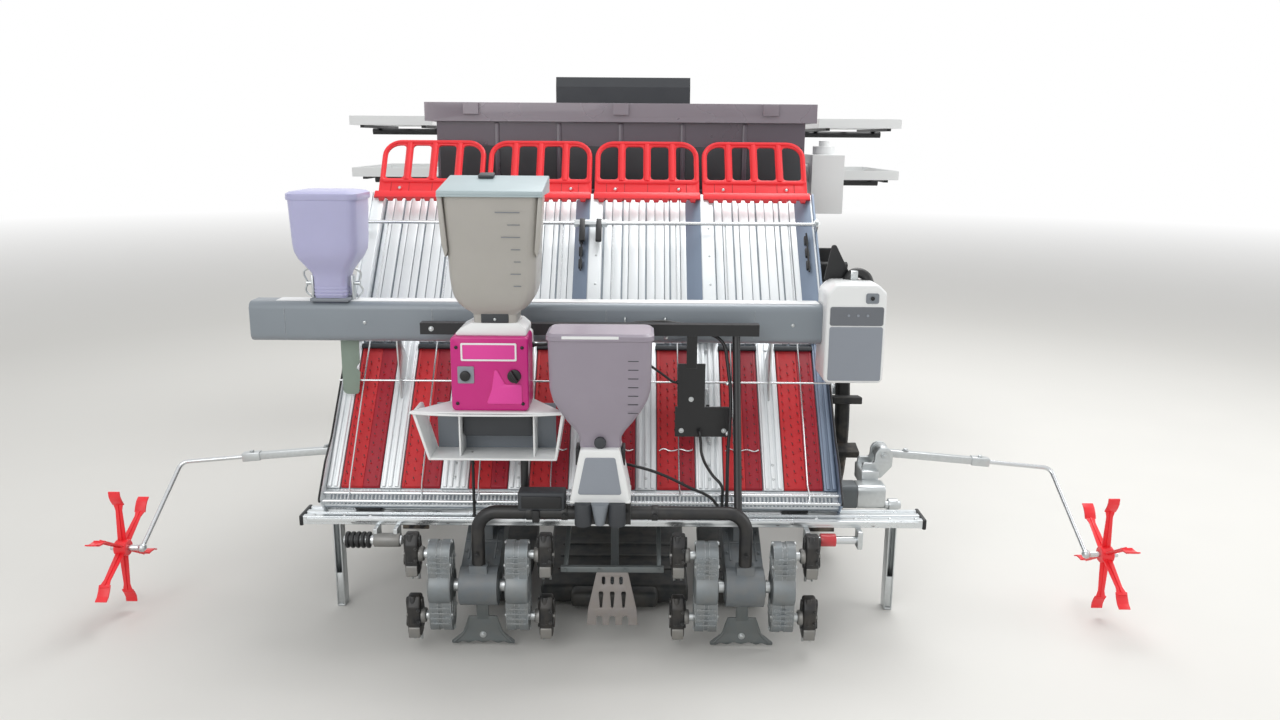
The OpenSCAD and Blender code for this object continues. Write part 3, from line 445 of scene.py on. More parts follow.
def surface(name, colour, roughness, metallic=0.0, mottle=(0.08, 45.0), grain=(0.02, 2.0), lines=None,
            dust=0.0, worn=None, sockets=None, slope=0.0):
    """A finish from its colour and the marks of its making.

    mottle is how much the colour drifts and over how many millimetres, grain is the height and size of the
    surface's relief in millimetres, lines are the (along, height) of marks drawn along an axis that is
    turned by slope about X, dust is how much dried soil lies on the low parts, and worn is the colour of
    rubbed edges.
    """
    made = bpy.data.materials.get(name)
    if made:
        return made
    made = bpy.data.materials.new(name)
    made.use_nodes = True
    tree = made.node_tree
    shader = tree.nodes["Principled BSDF"]
    place = add_node(tree, "ShaderNodeTexCoord").outputs["Object"]
    base = linear(colour) if isinstance(colour, str) else (*colour[:3], 1.0)
    drift = add_node(tree, "ShaderNodeTexNoise",
                     {"Vector": place, "Scale": 1000.0 / mottle[1], "Detail": 3.0, "Roughness": 0.55})
    darker = tuple(c * (1 - mottle[0]) for c in base[:3]) + (1.0,)
    lighter = tuple(min(1.0, c * (1 + mottle[0])) for c in base[:3]) + (1.0,)
    blend = add_node(tree, "ShaderNodeMix", {0: drift.outputs["Fac"], 6: darker, 7: lighter},
                     data_type="RGBA").outputs[2]
    if worn:
        rounded_normal = add_node(tree, "ShaderNodeBevel", {"Radius": 0.0022}, samples=4).outputs["Normal"]
        flat_normal = add_node(tree, "ShaderNodeNewGeometry").outputs["Normal"]
        turned = add_node(tree, "ShaderNodeVectorMath", {0: rounded_normal, 1: flat_normal},
                          operation="DOT_PRODUCT").outputs["Value"]
        chips = add_node(tree, "ShaderNodeTexNoise", {"Vector": place, "Scale": 260.0, "Detail": 4.0})
        mask = add_node(tree, "ShaderNodeMapRange",
                        {"Value": turned, "From Min": 0.985, "From Max": 0.90, "To Min": 0.0, "To Max": 1.0})
        mask = add_node(tree, "ShaderNodeMath", {0: mask.outputs[0], 1: chips.outputs["Fac"]},
                        operation="MULTIPLY")
        mask = add_node(tree, "ShaderNodeMapRange",
                        {"Value": mask.outputs[0], "From Min": 0.35, "From Max": 0.6}).outputs[0]
        blend = add_node(tree, "ShaderNodeMix", {0: mask, 6: blend, 7: linear(worn)},
                         data_type="RGBA").outputs[2]
    if dust:
        height = add_node(tree, "ShaderNodeSeparateXYZ", {0: place}).outputs["Z"]
        low = add_node(tree, "ShaderNodeMapRange",
                       {"Value": height, "From Min": 0.55, "From Max": 0.0, "To Min": 0.0, "To Max": dust})
        patches = add_node(tree, "ShaderNodeTexNoise", {"Vector": place, "Scale": 38.0, "Detail": 5.0})
        spread = add_node(tree, "ShaderNodeMapRange",
                          {"Value": patches.outputs["Fac"], "From Min": 0.38, "From Max": 0.62})
        amount = add_node(tree, "ShaderNodeMath", {0: low.outputs[0], 1: spread.outputs[0]},
                          operation="MULTIPLY")
        blend = add_node(tree, "ShaderNodeMix", {0: amount.outputs[0], 6: blend, 7: linear("#8D8272")},
                         data_type="RGBA").outputs[2]
    tree.links.new(blend, shader.inputs["Base Color"])
    rough = add_node(tree, "ShaderNodeMapRange",
                     {"Value": drift.outputs["Fac"], "From Min": 0.3, "From Max": 0.7,
                      "To Min": roughness * 0.88, "To Max": min(1.0, roughness * 1.12)})
    tree.links.new(rough.outputs[0], shader.inputs["Roughness"])
    shader.inputs["Metallic"].default_value = metallic
    relief = add_node(tree, "ShaderNodeTexNoise",
                      {"Vector": place, "Scale": 1000.0 / grain[1], "Detail": 2.0})
    bump = add_node(tree, "ShaderNodeBump", {"Height": relief.outputs["Fac"], "Distance": grain[0] * MM,
                                             "Strength": 1.0})
    if lines:
        stretch = tuple(6.0 if axis == lines[0] else 900.0 for axis in "XYZ")
        level_place = add_node(tree, "ShaderNodeVectorRotate", {"Vector": place, "Angle": -slope},
                               rotation_type="X_AXIS").outputs[0]
        drawn = add_node(tree, "ShaderNodeMapping", {"Vector": level_place, "Scale": stretch}).outputs[0]
        marks = add_node(tree, "ShaderNodeTexNoise", {"Vector": drawn, "Scale": 1.0, "Detail": 2.0})
        bump = add_node(tree, "ShaderNodeBump", {"Height": marks.outputs["Fac"], "Distance": lines[1] * MM,
                                                 "Strength": 1.0, "Normal": bump.outputs[0]})
    tree.links.new(bump.outputs[0], shader.inputs["Normal"])
    for key, value in (sockets or {}).items():
        shader.inputs[key].default_value = value
    return made


def looks():
    """The colours that the sidebar sets."""
    return bpy.context.scene.transplanter_colours


def red_polypropylene():
    """Injection-moulded polypropylene: an even satin red that light enters a little at thin bars."""
    return surface("moulded_red_polypropylene", looks().grid, 0.34, mottle=(0.05, 60), grain=(0.03, 1.2),
                   sockets={"Subsurface Weight": 0.12, "Subsurface Radius": (0.004, 0.001, 0.001)})


def belt_rubber():
    """Calendered rubber belting: dull, with a cloth-like tooth and slightly paler where mats slide on it."""
    return surface("red_belt_rubber", looks().belt, 0.55, mottle=(0.14, 22), grain=(0.08, 1.6),
                   lines=("Y", 0.04),
                   slope=TABLE_SLOPE)


def painted_shade_lane_belt_rubber():
    """The belt's right lane: the same rubber, painted darker as the shade that the divider beside it casts,
    and smoother.
    """
    return surface("red_belt_rubber_painted_shade_lane", "#A0172A", 0.5, mottle=(0.14, 22), grain=(0.05, 1.6),
                   lines=("Y", 0.04),
                   slope=TABLE_SLOPE)


def anodised_aluminium():
    """Extruded aluminium, anodised: near white and silky, with faint marks along the extrusion."""
    return surface("anodised_aluminium_extrusion", looks().table, 0.42, 0.35, mottle=(0.03, 90),
                   grain=(0.01, 1.0), lines=("Y", 0.008), slope=TABLE_SLOPE)


def shaded_aluminium():
    """The same extrusion in its grooves, painted cooler and darker as the shade in narrow channels."""
    return surface("anodised_aluminium_groove_painted_shade", "#8F979E", 0.45, 0.5, mottle=(0.06, 60), grain=(0.01, 1.0))


def divider_painted_shade():
    """The dividers' sloping face: the same anodising, painted blue-grey as shade where it looks away from the
    sky.
    """
    return surface("anodised_divider_painted_shade", "#7F8DA0", 0.42, 0.35, mottle=(0.05, 80), grain=(0.01, 1.0))


def bright_aluminium():
    """Mill-finish aluminium rail: brighter and smoother than the table, with lines along X."""
    return surface("mill_finish_aluminium_rail", "#D5D9DB", 0.28, 0.85, mottle=(0.05, 70), grain=(0.01, 1.0),
                   lines=("X", 0.03))


def zinc_plate():
    """Zinc-plated steel: a cool, slightly cloudy metal."""
    return surface("zinc_plated_steel", "#C3C7C8", 0.33, 0.9, mottle=(0.12, 9), grain=(0.008, 0.8))


def stainless_rod():
    """Drawn stainless rod: clean and bright, darker round its sides."""
    return surface("drawn_stainless_steel", "#CDD0D2", 0.22, 1.0, mottle=(0.05, 25), grain=(0.004, 0.6))


def cast_aluminium():
    """Die-cast aluminium, as cast: grey, matt and pebbled, with soil in its low parts."""
    return surface("die_cast_aluminium", looks().casting, 0.5, 0.6, mottle=(0.16, 16), grain=(0.12, 2.2),
                   dust=0.2,
                   worn="#B9BDBE")


def sand_casting():
    """Sand-cast housing under mid grey paint: dull and coarse."""
    return surface("painted_sand_casting", "#686E72", 0.5, 0.3, mottle=(0.12, 24), grain=(0.16, 3.0),
                   dust=0.2)


def black_powder_coat():
    """Powder-coated steel: black with orange peel, and steel showing at rubbed edges."""
    return surface("black_powder_coat", looks().black, 0.42, mottle=(0.2, 40), grain=(0.05, 3.5), dust=0.1,
                   worn="#55585A")


def grey_powder_coat():
    """Dark grey powder-coated steel of the planting frame."""
    return surface("grey_powder_coat", "#5A6063", 0.4, 0.2, mottle=(0.08, 60), grain=(0.05, 3.5), dust=0.08,
                   worn="#8B8F90")


def beam_paint():
    """Smooth painted tube: cool mid grey with a soft gloss."""
    return surface("grey_stove_enamel", looks().beam, 0.36, 0.1, mottle=(0.05, 120), grain=(0.02, 5.0),
                   worn="#B9BEC1")


def red_enamel():
    """Stoved gloss enamel on steel pressings: deep red under a clear film."""
    return surface("red_gloss_enamel", "#C3202B", 0.3, mottle=(0.04, 150), grain=(0.015, 6.0), worn="#8A1A20",
                   sockets={"Coat Weight": 0.7, "Coat Roughness": 0.08})


def magenta_abs():
    """Moulded ABS, magenta and glossy, with a fine spark-eroded grain."""
    return surface("moulded_magenta_abs", looks().spreader, 0.3, mottle=(0.03, 80), grain=(0.02, 0.9),
                   sockets={"Coat Weight": 0.25, "Coat Roughness": 0.15})


def pink_abs():
    """The lighter stepped area of the magenta housing."""
    return surface("moulded_pink_abs", "#E0409C", 0.34, mottle=(0.03, 80), grain=(0.02, 0.9))


def white_plastic_and_painted_highlight():
    """Moulded white ABS: clean, semi-gloss, yellowing a little; it is also a painted highlight along the
    granule beam's top.
    """
    return surface("moulded_white_plastic_and_painted_highlight", "#E9EBEB", 0.32, mottle=(0.025, 120), grain=(0.02, 1.0))


def grey_plastic_and_painted_shade():
    """Moulded grey ABS of panels and clips; it is also painted shade on the outlet's inner back wall."""
    return surface("moulded_grey_plastic_and_painted_shade", "#7D838A", 0.45, mottle=(0.04, 60), grain=(0.03, 1.0))


def charcoal_abs_and_painted_shade():
    """Moulded charcoal ABS: matt with a leather-like etched grain; it is also painted shade in the belts'
    mouths, the bin's lower part and deep in the outlet.
    """
    return surface("etched_charcoal_abs_and_painted_shade", "#35383C", 0.55, mottle=(0.08, 60), grain=(0.08, 1.4))


def black_nylon_and_painted_shadow():
    """Glass-filled black nylon: knobs, clips and cable sheath, and the painted shadows behind the belt studs.
    """
    return surface("black_nylon_and_painted_shadow", "#131416", 0.42, mottle=(0.1, 30), grain=(0.04, 1.2))


def slate_film():
    """The blue-grey film that fills the blank sign panels."""
    return surface("slate_sign_film", "#8C929B", 0.4, mottle=(0.02, 60), grain=(0.005, 2.0))


def graphite_film():
    """The graphite grey film of the motor box's blank panels."""
    return surface("graphite_sign_film", "#6A6E74", 0.42, mottle=(0.03, 60), grain=(0.005, 2.0))


def milky(name, colour):
    """Blow-moulded polyethylene: milky, so light enters its walls and edges look paler."""
    return surface(name, colour, 0.38, mottle=(0.05, 70), grain=(0.05, 7.0),
                   sockets={"Subsurface Weight": 0.35, "Subsurface Radius": (0.02, 0.018, 0.022),
                            "Transmission Weight": 0.08, "Coat Weight": 0.15, "Coat Roughness": 0.2})


def violet_polyethylene():
    """Milky polyethylene with a lavender cast."""
    return milky("milky_violet_polyethylene", looks().hopper_left)


def beige_polyethylene():
    """Milky polyethylene, grey-beige where granules fill it."""
    return milky("milky_beige_polyethylene", looks().hopper_big)


def plum_polyethylene():
    """Milky polyethylene with a plum-grey cast."""
    return milky("milky_plum_polyethylene", looks().hopper_mid)


def lid_polyethylene():
    """Blue-grey moulded lids."""
    return surface("blue_grey_moulded_lid", "#A9B8BC", 0.4, mottle=(0.04, 80), grain=(0.03, 1.5))


def smoked_acrylic_and_painted_shade():
    """Smoke-tinted sheet of the fertiliser bin, with its tint painted darker as shade; the bin's inside shows
    a little through it.
    """
    return surface("smoke_tinted_bin_and_painted_shade", looks().bin, 0.3, mottle=(0.06, 160), grain=(0.02, 8.0),
                   sockets={"Transmission Weight": 0.35, "IOR": 1.49, "Coat Weight": 0.2})


def lid_painted_light():
    """The bin's lid: the bin's tinted sheet painted paler, as light on its upward face, so its rim looks
    paler against the sky.
    """
    return surface("tinted_lid_painted_light", "#9B929C", 0.28, mottle=(0.05, 160), grain=(0.02, 8.0),
                   sockets={"Transmission Weight": 0.3, "IOR": 1.49, "Coat Weight": 0.3})


def tyre_rubber():
    """Field tyre rubber: charcoal, dull, with dried soil in its lower tread."""
    return surface("field_tyre_rubber", "#242526", 0.78, mottle=(0.25, 30), grain=(0.15, 2.5), dust=0.6)


def wheel_paint():
    """Silver-grey painted wheel steel."""
    return surface("silver_wheel_paint", "#B7BCBF", 0.4, 0.5, mottle=(0.08, 40), grain=(0.03, 3.0), dust=0.5,
                   worn="#7C7F80")


def deck_coat():
    """Rolled anti-slip deck: dark, coarse and scuffed by boots."""
    return surface("anti_slip_deck", "#3A3D40", 0.62, mottle=(0.2, 35), grain=(0.5, 5.0), worn="#6F7274")


def float_polymer_and_painted_shade():
    """Rotomoulded float: charcoal, painted darker still as shade under the machine, soft sheen, with a little
    soil in its scratches.
    """
    return surface("rotomoulded_float_and_painted_shade", "#24282A", 0.5, mottle=(0.1, 60), grain=(0.1, 4.0), dust=0.12)


def guard_steel():
    """Phosphated steel pressings of the soil guards."""
    return surface("phosphated_guard_steel", "#666C6D", 0.42, 0.45, mottle=(0.08, 25), grain=(0.03, 2.0),
                   dust=0.1)


def comb_steel():
    """Blanked sheet steel with a warm grey passivated face."""
    return surface("passivated_comb_plate", "#8F8A88", 0.46, 0.35, mottle=(0.08, 30), grain=(0.02, 1.5),
                   dust=0.2)


def green_film():
    """Grey-green translucent guard sheet beside the table."""
    return surface("grey_green_guard_sheet", "#8FA093", 0.35, mottle=(0.08, 40), grain=(0.02, 3.0),
                   sockets={"Transmission Weight": 0.2})


def lamp_glass():
    """Clear moulded lamp cover over a bright reflector."""
    return surface("clear_lamp_cover", "#E8ECEE", 0.08, mottle=(0.02, 60), grain=(0.01, 6.0),
                   sockets={"Transmission Weight": 0.6, "Coat Weight": 1.0})


def seat_vinyl():
    """Vinyl seat cover: black, lightly sheened, with a pebbled leather grain."""
    made = bpy.data.materials.get("pebbled_black_vinyl")
    if made:
        return made
    made = surface("pebbled_black_vinyl", "#1F2022", 0.48, mottle=(0.12, 50), grain=(0.05, 2.0))
    tree = made.node_tree
    shader = tree.nodes["Principled BSDF"]
    place = add_node(tree, "ShaderNodeTexCoord").outputs["Object"]
    cells = add_node(tree, "ShaderNodeTexVoronoi", {"Vector": place, "Scale": 420.0},
                     feature="DISTANCE_TO_EDGE")
    creases = add_node(tree, "ShaderNodeMapRange", {"Value": cells.outputs["Distance"], "From Max": 0.22})
    bump = add_node(tree, "ShaderNodeBump",
                    {"Height": creases.outputs[0], "Distance": 0.25 * MM, "Strength": 0.8})
    tree.links.new(bump.outputs[0], shader.inputs["Normal"])
    shader.inputs["Sheen Weight"].default_value = 0.15
    return made


def red_polypropylene_painted_shade():
    """The same polypropylene painted darker, as shade in moulding lines, the fold and the foot."""
    return surface("moulded_red_polypropylene_painted_shade", "#B81D25", 0.45, mottle=(0.04, 60), grain=(0.02, 1.2))


def claw_casting():
    """Investment-cast claw holders: warm mid grey, satin from shot blasting."""
    return surface("shot_blasted_claw_casting", "#838381", 0.42, 0.45, mottle=(0.1, 12), grain=(0.05, 1.2),
                   dust=0.2)


def direct_rays(tree):
    """The light path, and a node that gives 1 to rays from the camera and to mirrored ones."""
    path = add_node(tree, "ShaderNodeLightPath")
    seen = add_node(tree, "ShaderNodeMath",
                    {0: path.outputs["Is Camera Ray"], 1: path.outputs["Is Glossy Ray"]},
                    operation="MAXIMUM")
    return path, seen


# Sizes and colours for the sidebar


class TransplanterSizes(bpy.types.PropertyGroup):
    """Sizes that a user would change."""

    belt_width: FloatProperty(name="Belt width", description="Width of one feed belt", default=0.093,
                              unit="LENGTH")
    belt_offset: FloatProperty(name="Belt offset", description="Feed belt's middle from the row's middle",
                               default=0.071, unit="LENGTH")
    stud_pitch: FloatProperty(name="Stud pitch", description="Distance between studs along a belt",
                              default=0.024, unit="LENGTH")
    comb_pitch: FloatProperty(name="Comb pitch", description="Distance between ribs of the lower edge",
                              default=0.009, unit="LENGTH")
    edge: FloatProperty(name="Edge rounding", description="Rounding of cast and welded edges",
                        default=0.0015, unit="LENGTH")
    rear_lugs: IntProperty(name="Rear lugs", description="Lugs round a rear tyre", default=18)
    front_lugs: IntProperty(name="Front lugs", description="Lugs round a front tyre", default=16)
    camera_height: FloatProperty(name="Camera height", description="Height of the camera", default=1.16,
                                 unit="LENGTH")
    camera_back: FloatProperty(name="Camera distance", description="Distance of the camera behind the middle",
                               default=3.234, unit="LENGTH")
    camera_tilt: FloatProperty(name="Camera tilt", description="Camera's turn down from level",
                               default=math.radians(12.5), unit="ROTATION")


def colour_property(name, description, code):
    """A colour that a user would change."""
    return FloatVectorProperty(name=name, description=description, default=linear(code)[:3], subtype="COLOR",
                               size=3, min=0.0, max=1.0)


class TransplanterColours(bpy.types.PropertyGroup):
    """Colours that a user would change."""

    grid: colour_property("Grids", "Extension grids and marker wheels", "#EE3038")
    belt: colour_property("Belts", "Feed belts", "#C3242B")
    table: colour_property("Table", "Seedling table", "#E4E8EA")
    casting: colour_property("Castings", "Planting cases", "#7F8588")
    black: colour_property("Black steel", "Tool frame, arms and chassis", "#17181A")
    beam: colour_property("Beam", "Granule beam", "#868E95")
    spreader: colour_property("Spreader", "Spreader's housing", "#C6107C")
    hopper_left: colour_property("Left hopper", "Granule hopper on the beam", "#B9B9DB")
    hopper_big: colour_property("Big hopper", "Spreader's hopper", "#B1AEA8")
    hopper_mid: colour_property("Middle hopper", "Applicator's hopper", "#9C94A0")
    # The bin's colour is darkened as painted shade
    bin: colour_property("Fertiliser bin", "Fertiliser bin behind the seat", "#6E6470")


class Build:
    """What the operators share: they act on the scene and can be undone."""

    bl_options = {"REGISTER", "UNDO"}


class TRANSPLANTER_OT_stage(Build, bpy.types.Operator):
    """Sets the floor, the soft studio light and the camera behind the machine"""

    bl_idname = "transplanter.stage"
    bl_label = "Stage and camera"

    def execute(self, context):
        sizes = context.scene.transplanter_sizes
        data = bpy.data.cameras.new("camera")
        data.lens, data.sensor_width, data.clip_end = 28.125, 36.0, 100.0
        camera = bpy.data.objects.new("camera", data)
        camera.location = (0.06, -sizes.camera_back, sizes.camera_height)
        tilt = Matrix.Rotation(math.radians(90) - sizes.camera_tilt, 4, "X")
        look = tilt @ Matrix.Rotation(math.radians(0.4), 4, "Z")
        camera.rotation_euler = look.to_euler()
        context.scene.collection.objects.link(camera)
        context.scene.camera = camera

        floor = bmesh.new()
        bmesh.ops.create_grid(floor, x_segments=1, y_segments=1, size=30.0)
        mesh = bpy.data.meshes.new("floor")
        floor.to_mesh(mesh)
        floor.free()
        mesh.materials.append(self.floor_finish())
        ground = bpy.data.objects.new("floor", mesh)
        context.scene.collection.objects.link(ground)

        # Soft boxes: a wide one overhead and ahead, and weaker ones behind and at the machine's right
        for name, place, aim, size, power in (
                ("overhead", (0.9, 0.9, 4.2), (0.0, -0.3, 0.6), 3.2, 150.0),
                ("rear_fill", (-1.6, -4.4, 2.6), (0.0, -0.9, 0.6), 3.0, 62.0),
                ("side_fill", (4.2, -1.2, 2.2), (0.0, -0.3, 0.6), 2.4, 40.0)):
            lamp = bpy.data.lights.new(name, "AREA")
            lamp.shape, lamp.size, lamp.energy = "SQUARE", size, power
            box = bpy.data.objects.new(name, lamp)
            box.location = place
            box.rotation_euler = (Vector(aim) - Vector(place)).to_track_quat("-Z", "Y").to_euler()
            context.scene.collection.objects.link(box)
        self.set_world(context)
        context.scene.view_settings.view_transform = "Standard"
        return {"FINISHED"}

    def floor_finish(self):
        """Power-floated concrete sealed matt: pale, with faint cloudiness."""
        made = surface("pale_sealed_floor", "#D9D8D4", 0.7, mottle=(0.03, 300), grain=(0.05, 6.0))
        tree = made.node_tree
        shader, output = tree.nodes["Principled BSDF"], tree.nodes["Material Output"]
        far = add_node(tree, "ShaderNodeTexCoord").outputs["Object"]
        reach = add_node(tree, "ShaderNodeVectorMath", {0: far}, operation="LENGTH").outputs["Value"]
        fade = add_node(tree, "ShaderNodeMapRange", {"Value": reach, "From Min": 4.0, "From Max": 14.0})
        glow = add_node(tree, "ShaderNodeEmission", {"Color": (1, 1, 1, 1), "Strength": 1.0})
        seen = direct_rays(tree)[1]
        amount = add_node(tree, "ShaderNodeMath", {0: fade.outputs[0], 1: seen.outputs[0]},
                          operation="MULTIPLY")
        mix = add_node(tree, "ShaderNodeMixShader",
                       {0: amount.outputs[0], 1: shader.outputs[0], 2: glow.outputs[0]})
        tree.links.new(mix.outputs[0], output.inputs["Surface"])
        return made

    def set_world(self, context):
        """A plain grey surround that lights the machine and shows as white behind it."""
        world = bpy.data.worlds.new("studio")
        world.use_nodes = True
        tree = world.node_tree
        path, seen = direct_rays(tree)
        seen = add_node(tree, "ShaderNodeMath", {0: seen.outputs[0], 1: path.outputs["Is Transmission Ray"]},
                        operation="MAXIMUM")
        strength = add_node(tree, "ShaderNodeMapRange",
                            {"Value": seen.outputs[0], "To Min": 0.55, "To Max": 1.0})
        shine = tree.nodes["Background"]
        shine.inputs["Color"].default_value = (1, 1, 1, 1)
        tree.links.new(strength.outputs[0], shine.inputs["Strength"])
        context.scene.world = world


class TRANSPLANTER_OT_table(Build, bpy.types.Operator):
    """Builds the seedling table from planks, dividers, a ribbed lower edge and side plates"""

    bl_idname = "transplanter.table"
    bl_label = "Seedling table"

    def execute(self, context):
        sizes = context.scene.transplanter_sizes
        white, groove, black = anodised_aluminium(), shaded_aluminium(), black_nylon_and_painted_shadow()
        piece = Piece("seedling_table_panels", "seedling_table", "table_silver", ["table_panels"])
        belts_top = BELT_LEN + 20
        # The darker sheet under the strips is painted shade where it shows in the joints
        piece.add(block(-HALF_TABLE, HALF_TABLE, -46, TABLE_LEN, -8, -1, 0.8), groove, [TABLE])
        # Lines between the strips of a row, from its middle; five of them are wide joints between planks
        lines = (-117, -94, -66, -49, -22, -2, 22, 47, 62, 90, 112)
        wide = (-117, -66, -2, 62, 112)
        for left, right in zip(lines, lines[1:]):
            rise = 5.5 if lines.index(left) % 2 else 4.0
            strip = block(left + (2.2 if left in wide else 0.9), right - (2.2 if right in wide else 0.9),
                          belts_top, TABLE_LEN, -3, rise, 1.2)
            piece.add(strip, white, [TABLE @ shift(k * ROW, 0, 0) for k in ROWS])
        # Raised dividers: a sloping left wall and a flat white top
        wall = rounded([(-50, 0, 0), (-3, 30, 3), (30, 30, 3), (30, 0, 0)], 3)
        upright = Matrix(((1, 0, 0, 0), (0, 0, -1, 0), (0, 1, 0, 0), (0, 0, 0, 1)))
        run = TABLE_LEN - belts_top
        inner = [TABLE @ shift(i * ROW, TABLE_LEN, 0) @ upright for i in (-1, 0, 1)]
        piece.add(prism(wall, run, 0.8), white, inner)
        left_end = rounded([(0, 0, 0), (0, 30, 2), (30, 30, 3), (30, 0, 0)], 3)
        right_end = rounded([(-50, 0, 0), (-3, 30, 3), (0, 30, 0), (0, 0, 0)], 3)
        piece.add(prism(left_end, run, 0.6), white, [TABLE @ shift(-HALF_TABLE, TABLE_LEN, 0) @ upright])
        piece.add(prism(right_end, run, 0.6), white, [TABLE @ shift(HALF_TABLE, TABLE_LEN, 0) @ upright])
        # A blue-grey face of painted shade lies on each sloping wall, from its foot to its top
        foot_x, foot_z, top_x, top_z = -48.0, 2.2, -5.4, 29.4
        lean = turn(-math.degrees(math.atan2(top_z - foot_z, top_x - foot_x)), "Y")
        piece.add(block(0, math.hypot(top_x - foot_x, top_z - foot_z), 4, run - 4, 0, 0.9, 0.3),
                  divider_painted_shade(),
                  [TABLE @ shift(i * ROW + foot_x, belts_top, foot_z) @ lean for i in (-1, 0, 1, 2)])
        # Fluted extrusions beside the belts
        for middle, half, flutes in ((0.0, 23.5, (-15, 0, 15)), (150.0, 31.5, (-22, -8, 8, 22))):
            spots = [k * ROW + middle for k in ROWS] + ([-HALF_TABLE] if middle else [])
            for spot in spots:
                low = max(1 - HALF_TABLE, spot - half)
                high = min(HALF_TABLE - 1, spot + half)
                # The strip at the table's right edge is painted shade
                finish = divider_painted_shade() if spot == HALF_TABLE else white
                piece.add(block(low, high, -2, belts_top, -2, 8, 1.5), finish, [TABLE])
                for flute in flutes:
                    if low < spot + flute - 5 and spot + flute + 5 < high:
                        piece.add(block(spot + flute - 4.6, spot + flute + 4.6, 0, belts_top - 2, 6, 13, 2.2),
                                  finish,
                                  [TABLE])
        # Dark mouths that the belts come out of, painted as shade in the gaps, and the ribbed lower edge
        half_belt = sizes.belt_width / MM / 2
        mouths = [TABLE @ shift(k * ROW + s * sizes.belt_offset / MM, 0, 0) for k in ROWS for s in SIDES]
        piece.add(block(-half_belt - 2, half_belt + 2, BELT_LEN - 2, BELT_LEN + 10, -2, 12, 1.5), charcoal_abs_and_painted_shade(),
                  mouths)
        pitch = sizes.comb_pitch / MM
        count = int(1180 / pitch)
        piece.add(block(-HALF_TABLE, HALF_TABLE, -44, -3, -2, 1.5, 0.8), white, [TABLE])
        first_rib = 10 - HALF_TABLE
        piece.add(block(-1.3, 1.3, -43, -5, 0, 5, 0), white,
                  [TABLE @ shift(first_rib + i * pitch, 0, 0) for i in range(count) if i % 7])
        # Darker strips between the ribs are painted shade
        piece.add(block(-2.2, 2.2, -40, -8, 1.2, 1.9, 0), groove,
                  [TABLE @ shift(first_rib + (i + 0.5) * pitch, 0, 0) for i in range(count)])
        self.sides(piece, white, black)
        self.underside(piece, groove)
        self.fittings(piece)
        piece.place()
        return {"FINISHED"}

    def sides(self, piece, white, black):
        """Side plates with a shaped top edge and rubber trim on it."""
        for side in SIDES:
            outline = rounded([(-46, -26, 6), (-46, 36, 8), (52, 37, 14), (120, 22, 20), (300, 22, 20),
                               (372, 37, 14), (TABLE_LEN, 37, 4), (TABLE_LEN, -26, 4)])
            stand = TABLE @ shift(side * (HALF_TABLE + 3), 0, 0)
            holes = [disc(t, 10, 3.2, 10) for t in (90, 340, 520, 660)]
            # The right side plate is painted shade, the left one plain white
            piece.add(plate(outline, 5.6, holes), white if side < 0 else divider_painted_shade(), [stand @ SIDE])
            top = [p for p in outline if p.y > 5 and -48 < p.x < 430]
            piece.add(tube([(0, p.x, p.y) for p in top], 2.6, 8, free=False), black, [stand])

    def underside(self, piece, groove):
        """The ribs and shoes under the table."""
        # The darker finish of these ribs is painted shade
        for x in (-560, -300, 0, 300, 560):
            piece.add(block(x - 15, x + 15, 0, TABLE_LEN, -26, -8, 2), groove, [TABLE])
        for t in (70, 440, 740):
            piece.add(block(-HALF_TABLE, HALF_TABLE, t, t + 24, -26, -8, 2), groove, [TABLE])
        for x in (-500, -180, 180, 500):
            place = TABLE @ shift(x, -46, -8) @ Matrix.Rotation(-TABLE_SLOPE, 4, "X")
            piece.add(block(-30, 30, 2, 32, -6, 6, 1.5), black_nylon_and_painted_shadow(), [place])

    def fittings(self, piece):
        """Screws along the dividers and the spring latches on two of them."""
        spots = [TABLE @ shift(i * ROW + 16, t, 30) for i in (-1, 0, 1) for t in (470, 560, 650, 740)]
        piece.add(screw(3.2), zinc_plate(), spots)
        low = [TABLE @ shift(x, t, 13) for x in (-300, -150, 0, 150, 300, 450) for t in (24, 60, 372)]
        piece.add(screw(3.4), zinc_plate(), low)
        for i in (0, 2):
            for t in (610, 650, 690):
                piece.add(block(-16, -6, t, t + 26, 22, 34, 2), black_nylon_and_painted_shadow(),
                          [TABLE @ shift(i * ROW - 14, 0, 0)])
            piece.add(bar((-24, 600, 33), (-24, 722, 36), 2.4, sides=8), black_nylon_and_painted_shadow(),
                      [TABLE @ shift(i * ROW, 0, 0)])


